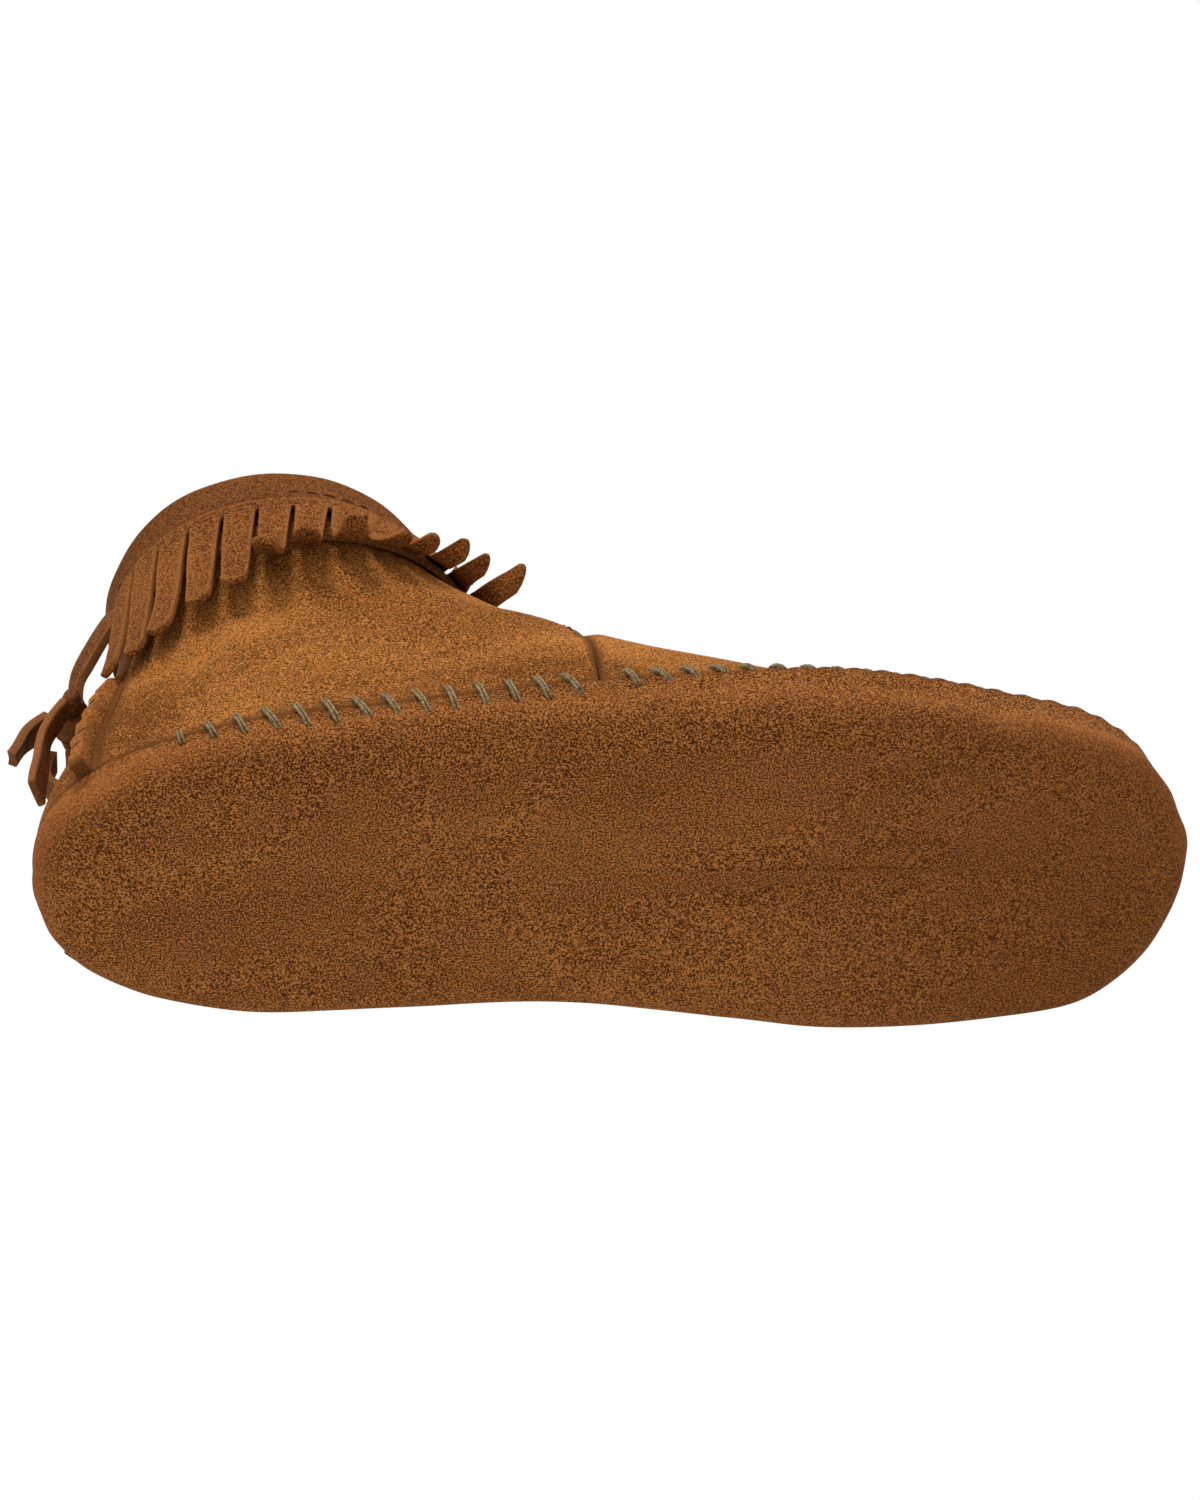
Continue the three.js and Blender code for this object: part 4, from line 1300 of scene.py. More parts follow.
@dataclass
class Fringe:
    """A cut fringe under the collar: a heading that is stitched down and free strips that curl.

    The keys give each strip's curl, the place where it leaves the quarter and its length by its
    angle round the ankle in degrees, from the back over the outer side.
    """

    last: Last
    drop: float = 11.5
    heading: float = 5.0
    thickness: float = 1.5
    gap: float = 0.6
    thong: float = 2.5
    back_angle: float = math.radians(25)
    strips: int = 27
    slit: float = 0.8
    across: int = 7
    steps: int = 36
    samples: int = 81
    backward: float = 0.10
    taper: float = 0.18
    seed: int = 7
    curl: Keys = (
        (25, 7), (72, 12), (84, 50), (92, 86), (100, 92), (112, 84), (125, 66), (134, 60), (145, 60),
        (157, 64), (168, 74), (180, 80), (200, 60), (230, 40), (270, 30), (285, 45), (295, 55),
        (306, 58), (318, 66), (329, 18), (335, 8),
    )
    leave: Keys = (
        (25, 20), (76, 20), (84, 17), (92, 13), (125, 13), (134, 15), (145, 17), (157, 15), (168, 12),
        (180, 11), (200, 10), (270, 12), (285, 7), (305, 3), (335, 4),
    )
    lengths: Keys = (
        (25, 41), (50, 38), (70, 34), (80, 31), (92, 29), (108, 27), (125, 26), (134, 28), (145, 31),
        (168, 31), (180, 32), (230, 34), (290, 44), (335, 45),
    )
    forward: Keys = (
        (105, 0), (128, 1.1), (150, 0.9), (180, 0.1), (205, 0.4), (235, 0.3), (270, 0), (295, 0),
        (306, 0.12), (318, 0.35), (330, 0),
    )
    bend: float = 13.0

    def _raise(self, s: np.ndarray) -> np.ndarray:
        """How far the back of the fringe stands off the quarter, s below its top edge."""
        return self.gap + self.thong * smoothstep(s, self.heading - 3, self.heading + 2)

    def _columns(self) -> np.ndarray:
        """The angle of each column of each strip, as strips of columns.

        Returns:
            Angles in radians.
        """
        pitch = 2 * (math.pi - self.back_angle) / self.strips
        middles = self.back_angle + (np.arange(self.strips) + 0.5) * pitch
        slit = self.slit / self.last.rim_radius
        return middles[:, None] + np.linspace(-0.5, 0.5, self.across)[None, :] * (pitch - slit)

    def _hang(self, angles: np.ndarray, reach: np.ndarray) -> tuple[np.ndarray, ...]:
        """Lets every column hang down the quarter under its own weight.

        Args:
            angles: the columns' angles round the rim.
            reach: how far each column hangs below the heading.

        Returns:
            Points, outward normals and downward directions along each column.
        """
        t = self.last.rib_at_angle(angles)
        v = Ribs(self.last, t).below_rim(self.drop + self.heading)[:, 0]
        step = reach / (self.samples - 1)
        plumb = np.array([1.0, 0.0, -self.backward])
        points, normals, ways = [], [], []
        for k in range(self.samples):
            ribs = Ribs(self.last, t)
            shares = v[:, None]
            point, normal, around, up = (part[:, 0] for part in ribs.frame(shares))
            per_t, per_v = (part[:, 0] for part in ribs.stretch(shares))
            sway = around @ plumb
            side = (up @ plumb) * sway / (sway**2 + 0.12)
            way = side[:, None] * around - up
            size = np.linalg.norm(way, axis=-1)
            points.append(point + normal * self._raise(self.heading + step * k)[:, None])
            normals.append(normal)
            ways.append(way / size[:, None])
            t = t + side / size * step / per_t
            v = np.maximum(v - step / size / per_v, 0.02)
        return tuple(np.stack(part, 1) for part in (points, normals, ways))

    def _strip(
        self, middle: float, reach: float, hang: tuple[np.ndarray, ...], draw: np.random.Generator
    ) -> tuple[np.ndarray, np.ndarray]:
        """Curls one strip away from the quarter.

        Args:
            middle: the strip's angle round the rim, in degrees.
            reach: how far it hangs below the heading.
            hang: its columns as they lie on the quarter.
            draw: the source of its small differences.

        Returns:
            The back of the strip and its outward directions, as columns of samples.
        """
        points, normals, ways = hang
        centre = self.across // 2
        total = math.radians(float(keyed(middle, self.curl)) * draw.uniform(0.88, 1.12) + draw.uniform(-3, 3))
        leave = float(keyed(middle, self.leave)) * draw.uniform(0.88, 1.15)
        twist = math.radians(draw.uniform(-10, 10)) * (0.4 + total)
        swing = math.radians(draw.uniform(-6, 6)) * (0.8 + total)
        distance = np.linspace(0, reach, self.samples)
        first = int(np.searchsorted(distance, leave))
        tight = float(smoothstep(math.degrees(total), 25, 52))
        arc = lerp(reach - leave, min(self.bend, reach - leave), tight)
        past = np.clip((distance - leave) / arc, 0, 1)
        turn = total * past**1.2
        down = ways[centre, first]
        out = normals[centre, first] + np.array([float(keyed(middle, self.forward)), 0.0, 0.0])
        out = unit(out - down * (out @ down))
        side = unit(np.cross(down, out))
        lean = swing * past
        ahead = np.cos(lean)[:, None] * down + np.sin(lean)[:, None] * side
        along = np.cos(turn)[:, None] * ahead + np.sin(turn)[:, None] * out
        face = np.cos(turn)[:, None] * out - np.sin(turn)[:, None] * ahead
        across = np.cross(along, face)
        roll = (twist * past)[:, None]
        rolled = face * np.cos(roll) + across * np.sin(roll)
        across = across * np.cos(roll) - face * np.sin(roll)
        face = rolled
        spine = points[centre].copy()
        step = distance[1]
        spine[first:] = spine[first] + np.cumsum(along[first:] * step, 0) - along[first] * step
        offset = points[:, first] - points[centre, first]
        parts = [offset @ axis for axis in (side, out, down)]
        free = (
            spine[None] + parts[0][:, None, None] * across[None]
            + (parts[1][:, None] * (1 - 0.6 * past[None, :]))[..., None] * face[None]
            + parts[2][:, None, None] * along[None]
        )
        loose = (np.arange(self.samples) >= first)[None, :, None]
        edge = np.linspace(-1, 1, self.across)[:, None] ** 2 * smoothstep(distance, 3, 12)[None, :]
        back = np.where(loose, free, points)
        back = back[centre] + (back - back[centre]) * (1 - self.taper * distance / reach)[None, :, None]
        outward = unit(np.where(loose, np.broadcast_to(face, free.shape), normals))
        return back + outward * (0.35 * edge)[..., None], outward

    def build(self, finish: bpy.types.Material) -> None:
        """Makes the fringe as one piece.

        Args:
            finish: the trim's suede.
        """
        draw = np.random.default_rng(self.seed)
        angles = self._columns()
        middles = np.degrees(angles[:, self.across // 2])
        reach = keyed(middles, self.lengths) + draw.uniform(-2, 2, self.strips)
        flat = angles.ravel()
        hang = self._hang(flat, np.repeat(reach, self.across))
        hang = tuple(part.reshape(self.strips, self.across, self.samples, 3) for part in hang)
        width = (angles[0, -1] - angles[0, 0]) * self.last.rim_radius
        place_across = np.linspace(-1, 1, self.across)
        tip = 0.40 * width * (1 - np.sqrt(1 - (0.97 * place_across) ** 2))
        backs, fronts = [], []
        for k in range(self.strips):
            back, outward = self._strip(
                float(middles[k]), float(reach[k]), tuple(part[k] for part in hang), draw
            )
            distance = np.linspace(0, reach[k], self.samples)
            for column in range(self.across):
                wanted = np.linspace(0, 1, self.steps + 1)[1:] ** 0.95 * (reach[k] - tip[column])
                spot, face = (
                    np.stack([np.interp(wanted, distance, part[column, :, axis]) for axis in range(3)], -1)
                    for part in (back, outward)
                )
                backs.append(spot)
                fronts.append(spot + unit(face) * self.thickness)
        rows = np.array([0.0, 0.6, 1.4, 2.4, 3.7, self.heading])
        ribs = Ribs(self.last, self.last.rib_at_angle(flat))
        shares = ribs.below_rim(self.drop + rows)
        ridge = 0.8 * np.exp(-(((rows - 0.8) / 1.1) ** 2))
        back = np.concatenate([ribs.at(shares, self._raise(rows)), np.stack(backs)], 1)
        lift = self._raise(rows) + self.thickness + ridge
        front = np.concatenate([ribs.at(shares, lift), np.stack(fronts)], 1)
        cells = np.ones((len(flat) - 1, front.shape[1] - 1), bool)
        cells[self.across - 1::self.across, len(rows) - 2:] = False
        # Lighter raw cut edges along the strips' sides.
        edge = np.abs(np.tile(place_across, self.strips))[:, None] ** 6
        edge = edge * smoothstep(np.arange(front.shape[1]), 5, 8)[None, :]
        # Painted highlight along the top edge of the heading.
        edge[:, :3] = (0.5, 0.5, 0.25)
        skin = Skin()
        skin.sheet(front, back, present=cells, marks={"worn": 0.6 * edge})
        place(skin.build("fringe_suede", edge=0.42), finish, Slot.TRIM, ["fringe_band"])


# ------------------------------------------------------------------ thong


@dataclass
class Strap:
    """A flat strap along points, with soft corners and a slight twist."""

    name: str
    points: np.ndarray
    side: np.ndarray
    width: float = 6.2
    thickness: float = 2.0
    steps: int = 46
    twist: float = 0.0
    slant: float = 0.0

    def _curve(self) -> np.ndarray:
        """Points spaced evenly along a smooth curve through the given ones.

        Returns:
            The points, in millimetres.
        """
        knots = self.points
        first, last = 2 * knots[0] - knots[1], 2 * knots[-1] - knots[-2]
        padded = np.vstack([first, knots, last])
        u = np.linspace(0, 1, 40, endpoint=False)[:, None]
        parts = []
        for k in range(len(knots) - 1):
            a, b, c, d = padded[k:k + 4]
            parts.append(0.5 * (2 * b + (c - a) * u + (2 * a - 5 * b + 4 * c - d) * u**2
                                + (3 * b - a - 3 * c + d) * u**3))
        line = np.vstack([*parts, knots[-1:]])
        run = np.concatenate([[0], np.cumsum(np.linalg.norm(np.diff(line, axis=0), axis=1))])
        even = np.linspace(0, run[-1], self.steps)
        return np.stack([np.interp(even, run, line[:, k]) for k in range(3)], -1)

    def build(self) -> bpy.types.Object:
        """Makes the strap.

        Returns:
            The strap, without a material.
        """
        line = self._curve()
        tangent = unit(np.gradient(line, axis=0))
        side = unit(self.side - tangent * (tangent @ self.side)[:, None])
        face = np.cross(tangent, side)
        turn = (self.twist * np.linspace(0, 1, self.steps))[:, None]
        turned = side * np.cos(turn) + face * np.sin(turn)
        face = face * np.cos(turn) - side * np.sin(turn)
        side = turned
        half = self.thickness / 2
        across = np.linspace(-0.5, 0.5, 7)
        slant = np.zeros(self.steps)
        slant[-6:] = self.slant * np.linspace(0, 1, 6)
        front, back = [], []
        for share in across:
            middle = line + side * (share * self.width) + tangent * (slant * share * self.width)[:, None]
            wave = face * (Ripple(9.0, 31).at(middle) * 0.14)[:, None]
            front.append(middle + face * half + wave)
            back.append(middle - face * half + wave)
        skin = Skin()
        edge = (np.abs(across) * 2)[:, None] ** 8 * np.ones((1, self.steps))
        skin.sheet(np.stack(front), np.stack(back), marks={"worn": 0.6 * edge})
        return skin.build(self.name, edge=0.45)


@dataclass
class Thong:
    """The strap that runs under the fringe and is tied in a bow behind the heel."""

    last: Last
    width: float = 6.4
    thickness: float = 2.2
    drop: float = 24.7
    exit_angle: float = math.radians(24)
    knot_height: float = 68.0
    knot_stand_off: float = 8.0
    knot_size: tuple[float, float, float] = (8.0, 16.0, 9.0)

    def _back_at(self, z: float) -> np.ndarray:
        """The back of the heel at this height.

        Args:
            z: the height.

        Returns:
            The point.
        """
        ribs = Ribs(self.last, [0.0])
        shares = np.linspace(0, 1, 400)
        line = ribs.at(shares[None, :])[0]
        return line[np.argmin(np.abs(line[:, 2] - z))]

    def build(self, finish: bpy.types.Material) -> None:
        """Makes the run, the strands, the knot, the tails and the bow.

        Args:
            finish: the thong's suede.
        """
        self._run(finish)
        knot = self._back_at(self.knot_height) + np.array([-self.knot_stand_off, 0, 0])
        for side in Side:
            self._strand(side, knot, finish)
        self._knot(knot, finish)
        self._tails(knot, finish)

    def _run(self, finish: bpy.types.Material) -> None:
        """The strap's run round the ankle, between the quarter and the fringe.

        Args:
            finish: the thong's suede.
        """
        angles = np.linspace(self.exit_angle, 2 * math.pi - self.exit_angle, 240)
        ribs = Ribs(self.last, self.last.rib_at_angle(angles))
        drops = self.drop + np.linspace(0.5, -0.5, 5) * self.width
        shares = ribs.below_rim(drops)
        skin = Skin()
        skin.sheet(ribs.at(shares, 2.3), ribs.at(shares, 0.4))
        place(skin.build("thong_run_strap", edge=0.4), finish, Slot.THONG, ["thong_run"])

    def _strand(self, side: Side, knot: np.ndarray, finish: bpy.types.Material) -> None:
        """A strand from the end of the run to the knot.

        Args:
            side: the side of the foot.
            knot: the middle of the knot.
            finish: the thong's suede.
        """
        sign = side.value
        exit_angle = self.exit_angle + math.radians(1)
        angle = exit_angle if side is Side.OUTER else 2 * math.pi - exit_angle
        ribs = Ribs(self.last, [float(self.last.rib_at_angle(angle))])
        share = ribs.below_rim(self.drop)
        start = ribs.at(share, 1.4)[0, 0]
        _, _, _, up = ribs.frame(share)
        past = start + np.array([-4, -sign * 1.5, -1])
        end = knot + np.array([0.5, sign * (self.knot_size[1] / 2 - 4.5), 0.5])
        points = np.stack([start, past, lerp(past, end, 0.6) + np.array([-1.5, 0, 1]), end])
        label = side.name.lower()
        strap = Strap(f"thong_strand_{label}_strap", points, up[0, 0], twist=0.15 * sign).build()
        place(strap, finish, Slot.THONG, [f"thong_strand_{label}"])

    def _knot(self, knot: np.ndarray, finish: bpy.types.Material) -> None:
        """The knot: a strap wrapped over the crossing of two others.

        Args:
            knot: its middle.
            finish: the thong's suede.
        """
        depth, width, rise = self.knot_size
        around, along = 64, 40
        turn = np.linspace(0, 2 * math.pi, around, endpoint=False)
        rows = np.linspace(0.03, 0.97, along) * math.pi
        ring = np.stack([
            np.cos(turn)[:, None] * np.sin(rows)[None, :] ** 0.55,
            -np.cos(rows)[None, :] * np.ones((around, 1)),
            np.sin(turn)[:, None] * np.sin(rows)[None, :] ** 0.55,
        ], -1)
        y = ring[..., 1]
        band = smoothstep(np.abs(y + 0.12 * np.sin(turn)[:, None]), 0.42, 0.36)
        lobe = 0.8 + 0.12 * np.cos(2 * turn[:, None] + 3 * y)
        size = lerp(lobe, 1.0, band)
        swell = np.stack([size, np.ones_like(size), size], -1)
        points = knot + ring * np.array([depth, width, rise]) / 2 * swell
        # Painted shade in the creases at the edges of the wrapping band.
        crease_shade = np.exp(-(((np.abs(y) - 0.42) / 0.06) ** 2))
        skin = Skin()
        # The wrapping band is lighter.
        numbers = skin._add(points, {"painted_shade": 0.8 * crease_shade, "worn": 0.4 * band})
        following = np.roll(numbers, -1, 0)
        skin._quads(numbers[:, :-1], following[:, :-1], following[:, 1:], numbers[:, 1:])
        skin.cap(numbers[:, 0], True)
        skin.cap(numbers[:, -1], False)
        place(skin.build("thong_knot_wrap"), finish, Slot.THONG, ["thong_knot"])

    def _tails(self, knot: np.ndarray, finish: bpy.types.Material) -> None:
        """The long tail, the short tail and the bow, each on its own body.

        Args:
            knot: the middle of the knot.
            finish: the thong's suede.
        """
        under = self.knot_size[2] / 2
        across = np.array([0.0, 1.0, 0.0])
        top = knot + np.array([-1.5, -7.3, -under - 0.8])
        heel = self._back_at(self.knot_height - 36)[0] - 2.7
        end = np.array([heel - 1, top[1] - 1.5, top[2] - 36])
        upper = lerp(top, end, 0.3) + [-2.2, 0.4, 0]
        lower = lerp(top, end, 0.65) + [-1.2, -0.6, 0]
        points = np.stack([top, upper, lower, end])
        strap = Strap("thong_tail_long_strap", points, across, width=5.6, twist=0.5, slant=0.5).build()
        place(strap, finish, Slot.THONG, ["thong_tail_long"], Body.TAIL_LONG)
        top = knot + np.array([-self.knot_size[0] / 2 - 1.5, 0, -1])
        end = top + np.array([-8.0, 0.5, -13.0])
        points = np.stack([top, lerp(top, end, 0.5) + np.array([-1, 0, 0.8]), end])
        strap = Strap("thong_tail_short_strap", points, across, width=6.6, twist=-0.25, slant=-0.6).build()
        place(strap, finish, Slot.THONG, ["thong_tail_short"], Body.TAIL_SHORT)
        top = knot + np.array([-2.5, 7.3, -under - 0.9])
        offsets = np.array([
            [-1.7, 0, 0], [-2.9, 0, -5], [-2.9, 0, -9.5], [0, 0, -13.0],
            [2.6, 0, -9], [2.3, 0, -4.5], [1.8, 0, 0],
        ])
        strap = Strap("thong_bow_strap", top + offsets, across, width=5.8, thickness=1.7, steps=60).build()
        place(strap, finish, Slot.THONG, ["thong_bow"], Body.BOW)


# ------------------------------------------------------------------ stitches


@dataclass
class StitchRow:
    """Stitches of one row: where each one lies and how it is turned."""

    centres: np.ndarray
    along: np.ndarray
    out: np.ndarray
    sizes: np.ndarray


@dataclass
class Stitcher:
    """Lays stitches along a row with geometry nodes."""

    thread_radius: float = 0.38
    strand_gap: float = 0.78
    arch: float = 0.9
    sink: float = 0.45
    strands: int = 2
    sway: float = 0.16
    seed: int = 3

    def _sizes(self) -> dict[str, float]:
        """The sizes that the tree takes, by the names of its inputs.

        Returns:
            A size in millimetres for each name, and for the sway an angle in radians.
        """
        return {
            "Thread radius": self.thread_radius,
            "Strand gap": self.strand_gap,
            "Arch": self.arch,
            "Sink": self.sink,
            "Sway": self.sway,
        }

    def _vector(
        self, graph: Graph, x: object = 0.0, y: object = 0.0, z: object = 0.0
    ) -> bpy.types.NodeSocket:
        """A vector of three values or sockets."""
        return graph.add("ShaderNodeCombineXYZ", {0: x, 1: y, 2: z}).outputs[0]

    def _named(self, graph: Graph, name: str, kind: str) -> bpy.types.NodeSocket:
        """A named attribute of the points."""
        return graph.add("GeometryNodeInputNamedAttribute", {"Name": name}, data_type=kind).outputs[0]

    def _instance(self, graph: Graph, given: bpy.types.NodeOutputs) -> bpy.types.NodeSocket:
        """One arched stitch of the strands, along Y and one millimetre long before it is sized.

        Args:
            graph: the graph that gets the nodes.
            given: the tree's named inputs.

        Returns:
            The stitch.
        """
        radius = graph.math("MULTIPLY", given["Thread radius"], MM)
        arch = graph.math("MULTIPLY", given["Arch"], 2 * MM)
        sink = graph.math("MULTIPLY", given["Sink"], -MM)
        ends = [
            self._vector(graph, y=reach * MM, z=height)
            for reach, height in ((-0.5, sink), (0.0, arch), (0.5, sink))
        ]
        strand = graph.add(
            "GeometryNodeCurveQuadraticBezier",
            {"Resolution": 9, "Start": ends[0], "Middle": ends[1], "End": ends[2]},
        ).outputs[0]
        circle = graph.add("GeometryNodeCurvePrimitiveCircle", {"Resolution": 8, "Radius": radius}).outputs[0]
        tube = graph.add(
            "GeometryNodeCurveToMesh", {"Curve": strand, "Profile Curve": circle, "Fill Caps": True}
        ).outputs[0]
        half = graph.math("MULTIPLY", given["Strand gap"], MM / 2)
        joined = graph.add("GeometryNodeJoinGeometry")
        for side in (-1, 1) if self.strands == 2 else (0,):
            shift = self._vector(graph, x=graph.math("MULTIPLY", half, float(side)))
            moved = graph.add("GeometryNodeTransform", {"Geometry": tube, "Translation": shift}).outputs[0]
            graph.tree.links.new(moved, joined.inputs[0])
        return joined.outputs[0]

    def _tree(self, finish: bpy.types.Material) -> bpy.types.NodeTree:
        """The node tree: an arched stitch on every point, turned and sized by the point.

        Args:
            finish: the thread's material.

        Returns:
            The tree, whose inputs are the stitch's sizes.
        """
        tree = bpy.data.node_groups.new("stitch_row", "GeometryNodeTree")
        face = tree.interface
        face.new_socket("Geometry", in_out="INPUT", socket_type="NodeSocketGeometry")
        for name, value in self._sizes().items():
            socket = face.new_socket(name, in_out="INPUT", socket_type="NodeSocketFloat")
            socket.default_value = value
        seed = face.new_socket("Seed", in_out="INPUT", socket_type="NodeSocketInt")
        seed.default_value = self.seed
        face.new_socket("Geometry", in_out="OUTPUT", socket_type="NodeSocketGeometry")
        graph = Graph(tree)
        given = graph.add("NodeGroupInput").outputs
        joined = self._instance(graph, given)
        turn = self._named(graph, "turn", "QUATERNION")
        size = self._named(graph, "size", "FLOAT_VECTOR")
        sway = given["Sway"]
        low = self._vector(graph, z=graph.math("MULTIPLY", sway, -1.0))
        limits = {"Min": low, "Max": self._vector(graph, z=sway), "Seed": given["Seed"]}
        random = graph.add("FunctionNodeRandomValue", limits, data_type="FLOAT_VECTOR").outputs[0]
        swayed = graph.add("FunctionNodeEulerToRotation", {0: random}).outputs[0]
        turned = graph.add(
            "FunctionNodeRotateRotation", {0: turn, 1: swayed}, rotation_space="LOCAL"
        ).outputs[0]
        stitches = graph.add(
            "GeometryNodeInstanceOnPoints",
            {"Points": given["Geometry"], "Instance": joined, "Rotation": turned, "Scale": size},
        ).outputs[0]
        real = graph.add("GeometryNodeRealizeInstances", {0: stitches}).outputs[0]
        smooth = graph.add("GeometryNodeSetShadeSmooth", {"Geometry": real}).outputs[0]
        dressed = graph.add("GeometryNodeSetMaterial", {"Geometry": smooth, "Material": finish}).outputs[0]
        graph.add("NodeGroupOutput", {0: dressed})
        return tree

    def sew(self, name: str, row: StitchRow, finish: bpy.types.Material, nodes: Sequence[str]) -> None:
        """Makes one row of stitches.

        Args:
            name: the piece's name.
            row: where the stitches lie.
            finish: the thread.
            nodes: the model's nodes that the row stands for.
        """
        mesh = bpy.data.meshes.new(name)
        mesh.from_pydata((row.centres * MM).tolist(), [], [])
        across = unit(np.cross(row.along, row.out))
        out = np.cross(across, row.along)
        turns = [
            Matrix(np.stack([x, y, z], 1).tolist()).to_quaternion() for x, y, z in zip(across, row.along, out)
        ]
        layer = mesh.attributes.new("turn", "QUATERNION", "POINT")
        layer.data.foreach_set("value", np.array([tuple(turn) for turn in turns]).ravel())
        layer = mesh.attributes.new("size", "FLOAT_VECTOR", "POINT")
        layer.data.foreach_set("vector", row.sizes.ravel())
        piece = bpy.data.objects.new(name, mesh)
        bpy.context.scene.collection.objects.link(piece)
        modifier = piece.modifiers.new("stitches", "NODES")
        tree = self._tree(finish)
        modifier.node_group = tree
        sockets = {item.name: item.identifier for item in tree.interface.items_tree if item.in_out == "INPUT"}
        for label, value in {**self._sizes(), "Seed": self.seed}.items():
            modifier[sockets[label]] = value
        settle(piece)
        for extra in ("turn", "size"):
            if extra in piece.data.attributes:
                piece.data.attributes.remove(piece.data.attributes[extra])
        place(piece, finish, Slot.THREAD, nodes)


@dataclass
class Piercer(Stitcher):
    """Puts a small dark dot of painted shade on every point, where the needle went through."""

    hole: float = 0.72
    flat: float = 0.4

    def _instance(self, graph: Graph, given: bpy.types.NodeOutputs) -> bpy.types.NodeSocket:
        """One flattened dot.

        Args:
            graph: the graph that gets the nodes.
            given: the tree's named inputs, which the pit doesn't use.

        Returns:
            The pit.
        """
        dot = graph.add("GeometryNodeMeshIcoSphere", {"Radius": self.hole * MM, "Subdivisions": 2})
        inputs = {"Geometry": dot.outputs[0], "Scale": (0.8, 1.0, self.flat)}
        return graph.add("GeometryNodeTransform", inputs).outputs[0]


